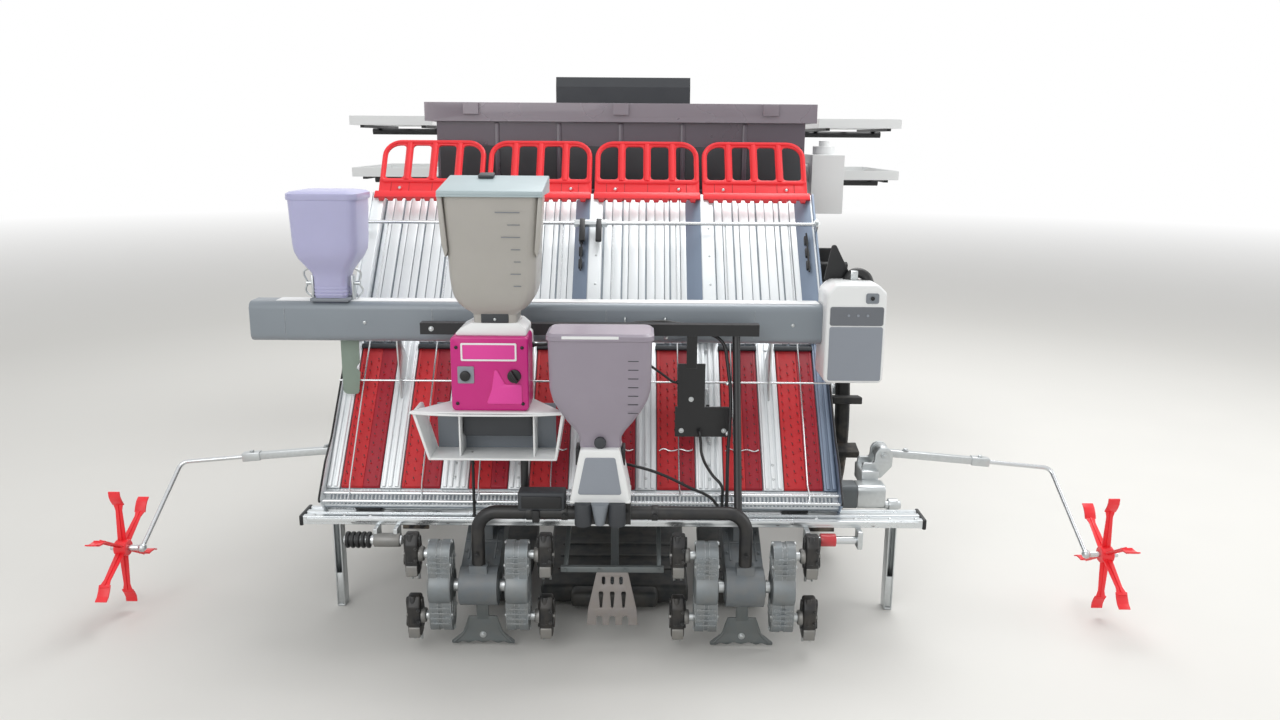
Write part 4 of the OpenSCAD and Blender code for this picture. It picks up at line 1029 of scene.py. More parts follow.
class TRANSPLANTER_OT_belts(Build, bpy.types.Operator):
    """Builds the red feed belts with their studs"""

    bl_idname = "transplanter.belts"
    bl_label = "Feed belts"

    def execute(self, context):
        sizes = context.scene.transplanter_sizes
        half, pitch = sizes.belt_width / MM / 2, sizes.stud_pitch / MM
        piece = Piece("red_feed_belts", "seedling_table", "belt_red", ["feed_belts"])
        spots = [TABLE @ shift(k * ROW + s * sizes.belt_offset / MM, 0, 0) for k in ROWS for s in SIDES]
        section = rounded([(0, 0, 0), (BELT_LEN, 0, 0), (BELT_LEN, 6, 2), (4, 6, 4), (0, 2, 1)], 4)
        # The right lane's darker rubber is painted shade cast by the divider beside the belt
        red, painted_shade_lane, lane_x = belt_rubber(), painted_shade_lane_belt_rubber(), half * 0.12
        piece.add(prism(section, lane_x + half - 1.5, 0.8), red,
                  [s @ shift(-half + 1.5, 0, 0) @ SIDE for s in spots])
        piece.add(prism(section, half - lane_x - 2, 0.8), painted_shade_lane,
                  [s @ shift(lane_x + 0.5, 0, 0) @ SIDE for s in spots])
        # The right-hand rib takes the same painted shade
        for lane in (-1, 1):
            piece.add(block(lane * (half - 5.5) - 2.5, lane * (half - 5.5) + 2.5, 3, BELT_LEN - 2, 5, 7.2,
                            0.9),
                      red if lane < 0 else painted_shade_lane, spots)
        # Studs stand in slanting lines of five, each with a thin dark strip behind it as its painted shadow
        studs = []
        for line in range(int((BELT_LEN - 20) / pitch)):
            for lane in range(5):
                t = 10 + (line + (lane * 0.37) % 1.0) * pitch
                if t < BELT_LEN - 8:
                    studs.append(shift((lane - 2) * half * 0.38, t, 5.6))
        stud = bar((0, 0, 0), (0, 0, 4.2), 2.1, 1.1, sides=6)
        piece.add(stud, belt_rubber(), [s @ m for s in spots for m in studs])
        # A thin black strip behind each stud is its painted shadow
        piece.add(block(-1.0, 1.0, 2.0, 8.5, 0.2, 0.75, 0), black_nylon_and_painted_shadow(),
                  [s @ m @ turn(18, "Z") for s in spots for m in studs])
        piece.place()
        return {"FINISHED"}


class TRANSPLANTER_OT_grids(Build, bpy.types.Operator):
    """Moulds the four red extension grids above the table"""

    bl_idname = "transplanter.grids"
    bl_label = "Extension grids"

    def execute(self, context):
        tall, half, pitch = 192.0, 146.0, 71.0
        red = red_polypropylene()
        piece = stand_in("extension_grid_mouldings", "extension_grids")
        outline = rounded([(-half, 2, 6), (half, 2, 6), (half, tall, 52), (-half, tall, 52)], 8)
        windows = [rounded([(x - 25, 68, 10), (x + 25, 68, 10), (x + 25, 176, 34 if i > 1 else 10),
                            (x - 25, 176, 34 if i < -1 else 10)], 6)
                   for i, x in ((i, i * pitch) for i in (-1.5, -0.5, 0.5, 1.5))]
        places = [GRID @ shift(k * ROW, 0, 0) for k in ROWS]
        piece.add(plate(outline, 7.0, windows, 2.4), red, [p @ shift(0, 0, -1.5) for p in places])
        # A rounded bead frames the windows, and the bars between them are half round
        rim = rounded([(-half + 6, 58, 10), (half - 6, 58, 10), (half - 6, tall - 6, 46),
                       (-half + 6, tall - 6, 46)], 8)
        piece.add(tube([(p.x, p.y, 1.2) for p in rim], 5.4, 10, free=False, closed=True), red, places)
        for i in (-1, 0, 1):
            piece.add(bar((i * pitch, 62, -0.6), (i * pitch, 180, -0.6), 9.0, sides=12), red, places)
        # The band under the windows has moulding lines, a fold, screws in bosses and a scalloped foot; the
        # lines, fold and foot are painted darker as shade
        for x in (-112, -62, 2, 62, 110):
            piece.add(block(x - 0.8, x + 0.8, 16, 56, 1.5, 3.2, 0.4), red_polypropylene_painted_shade(), places)
        piece.add(block(-half + 3, half - 3, 12, 16, 0, 3.6, 1.0), red_polypropylene_painted_shade(), places)
        boss = lathe([(4.8, 0), (8.5, 0), (8.0, 2.2), (6.8, 2.8), (4.8, 2.4)], 18, closed=True)
        piece.add(boss, red, [p @ shift(s * 88, 36, 1.2) for p in places for s in SIDES])
        piece.add(screw(4.6), zinc_plate(), [p @ shift(s * 88, 36, 2.0) for p in places for s in SIDES])
        foot = [(-half, 0), (half, 0), (half, -20)]
        for i in range(5, -6, -1):
            foot += [(i * 25 + 9, -20), (i * 25 + 6, -30), (i * 25 - 6, -30), (i * 25 - 9, -20)]
        foot.append((-half, -20))
        piece.add(prism(foot, 4, 0.6), red_polypropylene_painted_shade(), [TABLE @ shift(k * ROW, TABLE_LEN, 31) for k in ROWS])
        piece.add(block(-half, half, -19, 3, 28, 35.5, 2), red,
                  [TABLE @ shift(k * ROW, TABLE_LEN, 0) for k in ROWS])
        piece.place()
        return {"FINISHED"}


class TRANSPLANTER_OT_rods(Build, bpy.types.Operator):
    """Bends the press rods over the belts, with their springs, gauges and clamps"""

    bl_idname = "transplanter.rods"
    bl_label = "Press rods"

    def execute(self, context):
        piece = stand_in("press_rod_set", "press_rods")
        steel, black, top = stainless_rod(), black_nylon_and_painted_shadow(), TABLE_LEN - 115
        for t, n, radius in ((-20, 20, 4.2), (-40, 20, 4.2), (265, 42, 2.6), (top, 50, 5.0)):
            piece.add(bar((-HALF_TABLE, t, n), (HALF_TABLE, t, n), radius, sides=14), steel, [TABLE])
        for k in ROWS:
            for d in (-91, 77):
                x = k * ROW + d
                piece.add(bent([(x, -40, 22), (x + 3, -24, 26), (x, 4, 24), (x, 265, 39), (x, top, 46)], 1.9,
                               6, 8),
                          steel, [TABLE])
        # Wavy cross wires near the foot of some belts
        wave = [(-40, 96, 12), (-30, 100, 14), (-12, 95, 13), (12, 99, 14), (30, 95, 13), (40, 99, 12)]
        piece.add(tube(wave, 1.8, 8), steel, [TABLE @ shift(k * ROW + d, 0, 0) for k, d in
                                              ((1.5, -71), (0.5, 71), (0.5, -71), (-0.5, 71), (-0.5, -71))])
        # Seedling gauges between the belts: a slotted strip, a white tab and a coil spring
        gauges = [TABLE @ shift(k * ROW, 0, 0) for k in (-1.0, 0.0, 1.0)]
        piece.add(plate(oblong(-5, 5, 120, 262, 3), 3, [oblong(-1.6, 1.6, 180, 250, 1.5)], 0.8), zinc_plate(),
                  [g @ shift(0, 0, 15) for g in gauges])
        piece.add(block(-4, 4, 172, 216, 16, 20, 1.2), black, gauges)
        piece.add(block(-3.4, 3.4, 150, 174, 16, 21, 1.2), white_plastic_and_painted_highlight(), gauges)
        coil = [(3 * math.cos(i * 0.9), 108 + 0.9 * i, 19 + 3 * math.sin(i * 0.9)) for i in range(50)]
        piece.add(tube(coil, 0.9, 6, free=False), steel, gauges)
        for side in SIDES:
            piece.add(block(side * 600, side * 606, top - 13, top + 13, 36, 58, 1.5), zinc_plate(), [TABLE])
            piece.add(bolt(10, 5), zinc_plate(), [TABLE @ shift(side * 602, top, 58)])
        piece.add(block(-44, 44, top - 8, top + 8, 42, 56, 2), zinc_plate(), [TABLE])
        piece.add(block(-8, 8, top - 60, top + 12, 46, 57, 3), black,
                  [TABLE @ shift(x, 0, 0) for x in (-22, 22)])
        piece.place()
        return {"FINISHED"}


class TRANSPLANTER_OT_granules(Build, bpy.types.Operator):
    """Builds the granule beam with its left hopper and motor box"""

    bl_idname = "transplanter.granules"
    bl_label = "Granule beam"

    def execute(self, context):
        self.beam()
        self.hopper()
        self.motor()
        return {"FINISHED"}

    def beam(self):
        piece = stand_in("granule_beam_tube", "granule_beam")
        x0, end = TABLE_X - 788, TABLE_X + 564
        y0, y1, z0, z1 = -609.0, -529.0, 684.5, 779.5
        piece.add(prism(oblong(y0, y1, z0, z1, 18, 6), end - x0, 2.0), beam_paint(), [sideways(x0)])
        piece.add(prism(oblong(y0 + 9, y1 - 9, z0 + 9, z1 - 9, 12, 4), 2.2, 0.8), grey_plastic_and_painted_shade(),
                  [sideways(x0 - 0.6)])
        # A pale strip on the top face as a painted highlight, joints in the tube, hooks and clips along its
        # foot
        piece.add(block(x0 + 60, end - 6, -592, -546, z1 - 1, z1 + 1.4, 0.8), white_plastic_and_painted_highlight())
        for x in (x0 + 84, -430, -20, 330):
            piece.add(block(x - 0.8, x + 0.8, y0 - 0.5, y0 + 2, z0 + 16, z1 - 16, 0.3), grey_plastic_and_painted_shade())
        # Brackets under the beam stand on the strips between the belts
        leg = rounded([(225, 12, 4), (345, 12, 4), (347, 144, 1), (341, 150, 1)])
        piece.add(prism(leg, 4, 0.8), zinc_plate(), [TABLE @ shift(x, 0, 0) @ SIDE for x in (-452, 448)])
        sheet = rounded([(-664, 545, 12), (-626, 545, 8), (-620, 600, 4), (-630, 612, 3), (-620, 624, 4),
                         (-620, 690, 6), (-664, 690, 6)])
        piece.add(prism(sheet, 2.4, 0.6), green_film(), [rearward(0, -560, 0)])
        for x in (24, 118):
            piece.add(bent([(x, -610, 748), (x, -622, 748), (x, -622, 722), (x + 9, -622, 716)], 1.8, 4, 8),
                      zinc_plate())
        for x in (-590, -210, 180, 420):
            piece.add(screw(4.5), zinc_plate(), [rearward(x, y0, z0 + 47)])
        piece.place()

    def hopper(self):
        low, high = extent("granule_hopper")
        x, y, z = (low.x + high.x) / 2, (low.y + high.y) / 2, low.z
        piece = stand_in("left_granule_hopper", "granule_hopper")
        piece.add(skin(x, y,
                       ((z, 72, 68, 10), (z + 56, 76, 72, 12), (z + 68, 84, 80, 14), (z + 84, 106, 98, 16),
                        (z + 102, 132, 119, 20), (z + 118, 146, 130, 22), (z + 136, 151, 133, 22),
                        (z + 244, 158, 140, 20))), violet_polyethylene())
        piece.add(skin(x, y, ((z + 238, 163, 142, 20), (z + 242, 166, 145, 22), (z + 252, 165, 144, 22),
                              (z + 256.5, 152, 130, 20), (z + 259.5, 112, 92, 16))), violet_polyethylene())
        for h in (14, 22, 30):
            piece.add(skin(x, y, ((z + h, 76, 72, 12), (z + h + 2.4, 77, 73, 12), (z + h + 4.8, 76, 72, 12))),
                      violet_polyethylene())
        piece.add(block(x - 46, x + 46, y - 42, y + 42, z + 0.5, z + 9, 3), grey_plastic_and_painted_shade())
        # Spring catches on both sides of the neck
        for s in SIDES:
            piece.add(block(x + s * 44, x + s * 50, y - 12, y + 12, z + 1, z + 60, 2), zinc_plate())
            piece.add(bar((x + s * 49, y, z + 40), (x + s * 64, y, z + 40), 5, sides=12), zinc_plate())
            hook = [(x + s * 55, y - 10, z + 76), (x + s * 67, y - 6, z + 66), (x + s * 62, y, z + 40),
                    (x + s * 68, y + 4, z + 22), (x + s * 54, y + 8, z + 4)]
            piece.add(tube(hook, 2.4, 8), zinc_plate())
        piece.place()

    def motor(self):
        low, high = extent("motor_box")
        x0, x1, z0, z1 = low.x, high.x, 601.0, 835.0
        face, back = -649.0, -531.0
        x = (x0 + x1) / 2
        piece = stand_in("motor_box_housing", "motor_box")
        front = rounded([(x0, z0, 14), (x1, z0, 14), (x1, z1 - 20, 16), (x1 - 22, z1, 16), (x0 + 22, z1, 22),
                         (x0, z1 - 22, 20)], 6)
        piece.add(prism(front, back - face, 7, 3), white_plastic_and_painted_highlight(), [rearward(0, back, 0)])
        for low_z, high_z, film in ((z1 - 96, z1 - 52, graphite_film()), (z0 + 7, z1 - 99, slate_film())):
            piece.add(plate(oblong(x - 61, x + 63, low_z, high_z, 5), 2.2), film,
                      [rearward(0, face - 0.4, 0)])
        piece.add(plate(oblong(x + 20, x + 50, z1 - 44, z1 - 20, 5), 2.6, [disc(x + 35, z1 - 32, 5)]),
                  grey_plastic_and_painted_shade(),
                  [rearward(0, face - 0.8, 0)])
        piece.add(bar((x + 35, face + 1, z1 - 32), (x + 35, face - 4, z1 - 32), 4.6, sides=16, edge=1),
                  black_nylon_and_painted_shadow())
        for i in (-1, 0, 1):
            piece.add(bar((x + 4 + i * 22, face, z1 - 72), (x + 4 + i * 22, face - 2.6, z1 - 72), 3,
                          sides=12),
                      slate_film())
        # Black guide fin and the curved cable cover behind the box
        fin = rounded([(-60, 0, 4), (10, 0, 4), (-34, 84, 6), (-44, 84, 6)])
        piece.add(prism(fin, 5, 1), black_nylon_and_painted_shadow(), [rearward(x, back - 8, z1 - 4)])
        piece.add(tube([(x - 8, back - 22, z1 - 8), (x + 8, back - 26, z1 + 14), (x + 34, back - 30, z1 + 10),
                        (x + 46, back - 34, z1 - 12)], 12, 14), black_nylon_and_painted_shadow())
        piece.add(block(x - 2, x + 16, back - 42, back - 22, z1 - 2, z1 + 22, 3), zinc_plate())
        piece.place()


class TRANSPLANTER_OT_spreader(Build, bpy.types.Operator):
    """Builds the magenta spreader with its hopper and the white outlet"""

    bl_idname = "transplanter.spreader"
    bl_label = "Spreader"

    def execute(self, context):
        self.housing()
        self.hopper()
        self.horn()
        return {"FINISHED"}

    def housing(self):
        x0, x1, z0, z1, face, x = -354.0, -184.0, 570.0, 737.0, -800.0, -269.0
        pink, black = magenta_abs(), black_nylon_and_painted_shadow()
        piece = stand_in("spreader_housing", "spreader_body")
        piece.add(prism(oblong(x0, x1, z0, z1, 10, 4), 92, 4, 3), pink, [rearward(0, -708, 0)])
        back = rounded([(x0 + 2, z0 + 2, 8), (x1 - 1, z0 + 2, 8), (x1 - 1, z1 - 2, 10), (x0 + 2, z1 - 2, 10)],
                       4)
        piece.add(prism(back, 34.5, 3, 2), white_plastic_and_painted_highlight(), [rearward(0, -673.5, 0)])
        # The front has a blank framed panel, corner screws, a button on its pad, a knob and a raised step
        inner = oblong(x - 58, x + 56, z1 - 50, z1 - 18, 2)
        piece.add(plate(oblong(x - 62, x + 60, z1 - 54, z1 - 14, 3), 3, [inner]), white_plastic_and_painted_highlight(),
                  [rearward(0, face - 0.5, 0)])
        piece.add(plate(inner, 1.6), pink_abs(), [rearward(0, face - 0.4, 0)])
        piece.add(plate(oblong(x - 70, x - 34, z1 - 104, z1 - 66, 3), 3), slate_film(),
                  [rearward(0, face - 1, 0)])
        piece.add(bar((-322, face, 650), (-322, face - 9, 650), 11.5, sides=24, edge=2), black)
        piece.add(bar((-215, face, 650), (-215, face - 6, 650), 15, sides=28, edge=1.5), black)
        piece.add(block(-3.5, 3.5, -15, 15, 6, 17, 2), black,
                  [shift(-215, face, 650) @ turn(-30, "Y") @ REAR])
        step = rounded([(x - 8, z1 - 150, 4), (x + 70, z1 - 150, 4), (x + 70, z1 - 106, 6),
                        (x + 34, z1 - 106, 4),
                        (x + 12, z1 - 66, 4), (x + 4, z1 - 118, 4)])
        piece.add(plate(step, 3), pink_abs(), [rearward(0, face - 0.9, 0)])
        piece.add(screw(4), black,
                  [rearward(x + a, face - 0.5, z) for a in (-72, 72) for z in (z1 - 24, z1 - 150)])
        piece.place()

    def hopper(self):
        x, y = -256.0, -745.0
        milk = beige_polyethylene()
        piece = stand_in("spreader_hopper_shell", "spreader_hopper")
        # White collar with sloping shoulders that the neck stands in
        collar = rounded([(-348, 737, 4), (-188, 737, 4), (-188, 752, 8), (-204, 766, 6), (-308, 766, 6),
                          (-334, 752, 8)])
        piece.add(prism(collar, 96, 2.5), white_plastic_and_painted_highlight(), [rearward(0, -694, 0)])
        piece.add(skin(x, y, ((766, 94, 88, 10), (784, 96, 90, 12), (790, 108, 102, 16), (798, 132, 118, 20),
                              (810, 156, 130, 24), (824, 172, 140, 26), (842, 182, 146, 26),
                              (870, 187, 149, 24),
                              (1042, 200, 157, 14))), milk)
        piece.add(block(x - 30, x + 30, y - 47, y - 40, 766, 790, 2), charcoal_abs_and_painted_shade())
        piece.add(screw(3.5), zinc_plate(), [rearward(x, y - 47, 774)])
        # The lid slopes down to the rear and has a thin rim and a latch
        lid = rounded([(-829, 1040, 3), (-661, 1040, 3), (-661, 1078, 5), (-829, 1051, 4)], 3)
        piece.add(prism(lid, 222, 2.5), lid_polyethylene(), [sideways(x - 111)])
        piece.add(block(x - 111, x + 111, -830.5, -827, 1038.5, 1042, 1), lid_polyethylene())
        slope = shift(x - 25, -690, 1075.5) @ turn(9.1, "X")
        piece.add(block(-17, 17, -16, 18, -2, 6, 2.5), charcoal_abs_and_painted_shade(), [slope])
        for side in SIDES:
            rib = mirrored(((-111, 1040), (-101, 1040), (-92, 925), (-97, 912), (-104, 940)), side)
            piece.add(prism(rib, 46, 1.0), milk, [rearward(x, -778, 0)])
        # Blank scale marks down the right of the rear face
        for i, wide in enumerate((52, 26, 40, 20, 14, 22, 16)):
            z = 1006 - i * 26
            piece.add(block(x + 62 - wide, x + 62, -825.4 + i * 0.75, -822 + i * 0.75, z, z + 1.4, 0.3),
                      grey_plastic_and_painted_shade())
        piece.place()

    def horn(self):
        piece = stand_in("spreader_outlet", "spreader_horn")
        white, shade = white_plastic_and_painted_highlight(), grey_plastic_and_painted_shade()
        roof = rounded([(-449, -806, 3), (-400, -811, 40), (-160, -811, 40), (-106, -806, 3), (-184, -690, 8),
                        (-354, -690, 8)])
        piece.add(prism(roof, 4, 1), white, [shift(0, 0, 566)])
        piece.add(tube([(-447, -806, 566), (-400, -810.5, 564), (-276, -812, 563), (-160, -810.5, 564),
                        (-107, -806, 566)], 2.6, 8), white)
        for outer, inner in (((-411, -444), (-405, -437)), ((-124, -106), (-130, -113))):
            side = [Vector((outer[0], 457)), Vector((inner[0], 457)), Vector((inner[1], 566)),
                    Vector((outer[1], 566))]
            piece.add(prism(side if outer[0] < -300 else side[::-1], 90, 1), white, [rearward(0, -710, 0)])
        floor = rounded([(-411, 455, 2), (-124, 455, 2), (-124, 460, 2), (-411, 460, 2)], 2)
        piece.add(prism(floor, 88, 0.8), white, [rearward(0, -711, 0)])
        # The grey back wall inside the outlet is painted shade
        piece.add(block(-404, -132, -716, -711, 458, 566, 1), shade)
        for x in (-344, -178):
            piece.add(block(x, x + 4, -784, -714, 458, 565, 1), white)
        # A dark block deep in the outlet is painted shade
        piece.add(block(-338, -182, -760, -716, 500, 563, 4), charcoal_abs_and_painted_shade())
        piece.place()


class TRANSPLANTER_OT_applicator(Build, bpy.types.Operator):
    """Builds the middle applicator with its hopper, white body and spouts"""

    bl_idname = "transplanter.applicator"
    bl_label = "Middle applicator"

    def execute(self, context):
        x, y = -25.0, -812.0
        plum = plum_polyethylene()
        piece = stand_in("applicator_hopper_shell", "applicator_hopper")
        piece.add(skin(x, y, ((504, 90, 78, 10), (526, 92, 80, 12), (540, 108, 86, 14), (560, 142, 98, 20),
                              (584, 176, 110, 24), (610, 204, 119, 24), (636, 217, 122, 22),
                              (746, 222, 124, 20))), plum)
        piece.add(skin(x, y, ((742, 226, 127, 20), (744, 230, 130, 22), (753, 229, 129, 22),
                              (758, 216, 118, 18))), plum)
        piece.add(plate(oblong(x - 80, x + 40, 748, 754, 1), 1.4), white_plastic_and_painted_highlight(), [rearward(0, y - 64.6, 0)])
        for i in range(7):
            z = 700 - i * 19
            piece.add(plate(oblong(x + 60, x + 82, z, z + 1.6, 0), 1.0, edge=0.2), charcoal_abs_and_painted_shade(),
                      [rearward(0, y - 61.7 + max(0, i - 3) * 0.9, 0)])
        piece.add(bar((x, y - 38, 516), (x, y - 50, 516), 13, sides=24, edge=2), charcoal_abs_and_painted_shade())
        piece.place()

        piece = stand_in("applicator_housing", "applicator_body")
        face, back, black = -868.0, -760.0, black_nylon_and_painted_shadow()
        front = rounded([(-92, 383, 10), (42, 383, 10), (18, 504, 10), (-68, 504, 10)], 5)
        piece.add(prism(front, back - face, 5, 3), white_plastic_and_painted_highlight(), [rearward(0, back, 0)])
        piece.add(plate(rounded([(-74, 402, 5), (22, 402, 5), (8, 486, 5), (-57, 486, 5)]), 2.4),
                  slate_film(),
                  [rearward(0, face - 0.5, 0)])
        piece.add(block(-92, 42, face, back, 381, 388, 3), white_plastic_and_painted_highlight())
        for s in SIDES:
            piece.add(bar((x + s * 37, -868, 384), (x + s * 37, -868, 332), 19, sides=24, edge=2), charcoal_abs_and_painted_shade())
            piece.add(block(x + s * 50 - 4, x + s * 50 + 4, -850, -800, 462, 500, 2), black)
        piece.add(bar((x, -872, 384), (x, -872, 334), 20, 10, sides=24, edge=1), grey_plastic_and_painted_shade())
        piece.place()
        return {"FINISHED"}


class TRANSPLANTER_OT_planting(Build, bpy.types.Operator):
    """Casts the rotor cases, planting arms, soil guards and comb plate"""

    bl_idname = "transplanter.planting"
    bl_label = "Planting units"

    def execute(self, context):
        self.rotors()
        self.arms()
        self.cases()
        self.guards()
        return {"FINISHED"}

    def rotors(self):
        piece = stand_in("rotor_case_castings", "rotor_cases")
        cast, bright = cast_aluminium(), zinc_plate()
        spots = [shift(s * ROW + d * 86.6, ROTOR_Y, ROTOR_Z) @ SIDE for s in SIDES for d in SIDES]
        body = rounded([(-33, -108, 33), (33, -108, 33), (33, 108, 33), (-33, 108, 33)], 8)
        for foot in (-25, 5):
            piece.add(prism(body, 20, 5, 3), cast, [m @ shift(0, 0, foot) for m in spots])
        joint = rounded([(-31, -106, 31), (31, -106, 31), (31, 106, 31), (-31, 106, 31)], 8)
        piece.add(prism(joint, 12, 1), cast, [m @ shift(0, 0, -6) for m in spots])
        piece.add(prism(disc(0, 0, 45, 28), 52, 5, 3), cast, [m @ shift(0, 0, -26) for m in spots])
        # Ribs run from the hub to the planets, four cross ribs at each end, a stepped boss on each face
        for a in (-20, 0, 20):
            piece.add(block(a - 2, a + 2, 30, 76, -27.4, 27.4, 1.2), cast,
                      [m @ turn(t, "Z") for m in spots for t in (0, 180)])
        for z in (-82, -70, -58, -46, 40, 52, 64, 76):
            piece.add(block(-35.5, 35.5, z, z + 5, -21, 21, 1.5), cast, spots)
        boss = [(0, 28.5), (14, 28.5), (17, 27), (27, 27), (29, 25.5), (29, 20), (0, 20)]
        piece.add(lathe(boss, 28), cast, [m @ turn(t, "Y") for m in spots for t in (0, 180)])
        ears = [(27, 60), (-27, 60), (27, -60), (-27, -60), (0, 104), (0, -104)]
        for face, flip in ((24, 0), (-24, 180)):
            piece.add(bolt(7, 2.6), bright,
                      [m @ shift(y, z, face) @ turn(flip, "Y") for m in spots for y, z in ears])
        for s in SIDES:
            piece.add(bar((s * 213, ROTOR_Y, ROTOR_Z), (s * 387, ROTOR_Y, ROTOR_Z), 14, sides=24), bright)
        piece.place()

    def arms(self):
        black, steel, grey = black_powder_coat(), zinc_plate(), claw_casting()
        outline = rounded([(-20, -49, 16), (24, -49, 20), (24, 24, 12), (14, 50, 8), (-8, 50, 8),
                           (-20, 26, 14)])
        claw = rounded([(6, -30, 1), (20, -30, 1), (24, -70, 0.5), (18, -70, 0.5)], 2)
        pad = rounded([(-22, -48, 4), (-8, -49, 3), (-8, -24, 3), (-22, -20, 4)])
        lever = rounded([(-16, -18, 8), (4, -34, 8), (16, 4, 10), (6, 44, 7), (-10, 44, 7), (-4, 6, 12)])
        for node, k in (("planting_arms_a", 1), ("planting_arms_b", -1)):
            piece = stand_in(node.replace("arms", "arm_castings"), node)
            spots = [(d, shift(s * ROW + d * 150, ROTOR_Y, ROTOR_Z + k * PLANET_R)) for s in SIDES
                     for d in SIDES]
            places = [m for d, m in spots]
            piece.add(prism(outline, 30, 5, 3), black, [m @ shift(-15, 0, 0) @ SIDE for m in places])
            piece.add(prism(pad, 26, 2), grey, [m @ shift(-13, 0, 0) @ SIDE for m in places])
            piece.add(prism(claw, 5, 0.8), steel,
                      [m @ shift(c, 0, 0) @ SIDE for m in places for c in (-10.5, 5.5)])
            piece.add(block(-13, 13, 4, 22, -40, -27, 2), grey, places)
            # Spring housing up the rear face, the lever that works the pusher, and the flange's small screws
            piece.add(bar((-3, -13, -14), (-3, -6, 49), 10, 8, sides=20, edge=2), black, places)
            piece.add(prism(lever, 4, 1), black,
                      [m @ shift(x, 0, 0) @ SIDE for m in places for x in (-19, 15)])
            piece.add(bar((-20, 0, 0), (20, 0, 0), 7, sides=16, edge=1), grey, places)
            piece.add(bar((6, 15, 18), (6, 15, -62), 3, sides=10), steel, places)
            piece.add(bolt(5, 2), black,
                      [m @ shift(x, -21, z) @ REAR for m in places for x, z in ((11, 20), (11, -8))])
            for d, m in spots:
                piece.add(bar((-d * 15, 0, 0), (-d * 56, 0, 0), 10, sides=20), steel, [m])
                piece.add(bar((-d * 15, 0, 0), (-d * 26, 0, 0), 19, 16, sides=24, edge=1.5), grey, [m])
            piece.place()

    def cases(self):
        """Covers, bolts and breathers on the planting cases."""
        dress("planting_cases", sand_casting(), 4.5)
        piece = Piece("planting_case_fittings", "planter", "case_silver")
        cast = sand_casting()
        tilt = math.degrees(math.atan2(134, 260))
        for s in SIDES:
            place = shift(s * ROW, ROTOR_Y, ROTOR_Z) @ turn(tilt, "X")
            for a in (-30, 0, 30):
                piece.add(block(a - 2, a + 2, 46, 245, 30, 37, 1.5), cast, [place])
            piece.add(block(-42, 42, 96, 104, -36, 36.5, 2), cast, [place])
            piece.add(bolt(7, 3), cast, [place @ shift(x, y, 34) for x in (-36, 36) for y in (70, 130, 190)])
            piece.add(bar((0, 150, 34), (0, 150, 48), 9, 7, sides=16, edge=1.5), black_nylon_and_painted_shadow(), [place])
            piece.add(lathe([(0, 3), (30, 3), (33, 1), (33, 0), (0, 0)], 28), cast,
                      [shift(s * ROW + a * 43, ROTOR_Y, ROTOR_Z) @ turn(a * 90, "Y") for a in SIDES])
        piece.place()

    def guards(self):
        piece = stand_in("soil_guard_plates", "soil_plates")
        guard, comb, bright = guard_steel(), comb_steel(), zinc_plate()
        skirt = rounded([(-73, 9, 3), (-60, 9, 6), (-48, 14, 8), (-34, 10, 8), (-18, 16, 10), (0, 11, 10),
                         (18, 16, 10),
                         (34, 10, 8), (48, 14, 8), (60, 9, 6), (73, 9, 3), (73, 16, 3), (46, 38, 16),
                         (33, 78, 8),
                         (-33, 78, 8), (-46, 38, 16), (-73, 16, 3)], 4)
        piece.add(plate(skirt, 4, edge=0.8), guard, [rearward(s * ROW, -797, 0) for s in SIDES])
        piece.add(block(-14, 14, -800, -792, 70, 125, 1.5), guard, [shift(s * ROW, 0, 0) for s in SIDES])
        for a in SIDES:
            rib = [(a * 30, -796, 76), (a * 42, -797, 40), (a * 66, -799, 14)]
            piece.add(tube(rib, 3.2, 8), guard, [shift(s * ROW, 0, 0) for s in SIDES])
        piece.add(bolt(9, 4), bright, [rearward(s * ROW, -799, 32) for s in SIDES])
        # Comb plate: round-topped notches along the foot, drop-shaped slots above them
        foot = [(-59, 59, 3)]
        for x in (-30, 0, 30):
            foot += [(x - 7, 59, 1), (x - 7, 82, 6.9), (x + 7, 82, 6.9), (x + 7, 59, 1)]
        outline = rounded(foot + [(59, 59, 3), (56, 98, 12), (36, 191, 6), (-36, 191, 6), (-56, 98, 12)], 4)
        drops = [rounded([(x - 2.4, 102, 2.3), (x + 2.4, 102, 2.3), (x + 6, 144, 5.9), (x - 6, 144, 5.9)], 4)
                 for x in (-26, 0, 26)]
        slots = [oblong(x - 4, x + 4, 160, 180, 3.9, 4) for x in (-20, 0, 20)]
        piece.add(plate(outline, 4, drops + slots, 0.8), comb, [rearward(0, -800.5, 0)])
        piece.add(block(-118, 118, -806, -794, 191, 205, 2), guard)
        arm = rounded([(-794, 191, 1), (-794, 205, 1), (-590, 305, 1), (-590, 270, 1)])
        piece.add(prism(arm, 10, 1.2), guard, [sideways(x) for x in (-112, 102)])
        piece.add(bolt(6, 2.5), guard, [rearward(x, -806, 198) for x in (-107, -30, 30, 107)])
        piece.place()


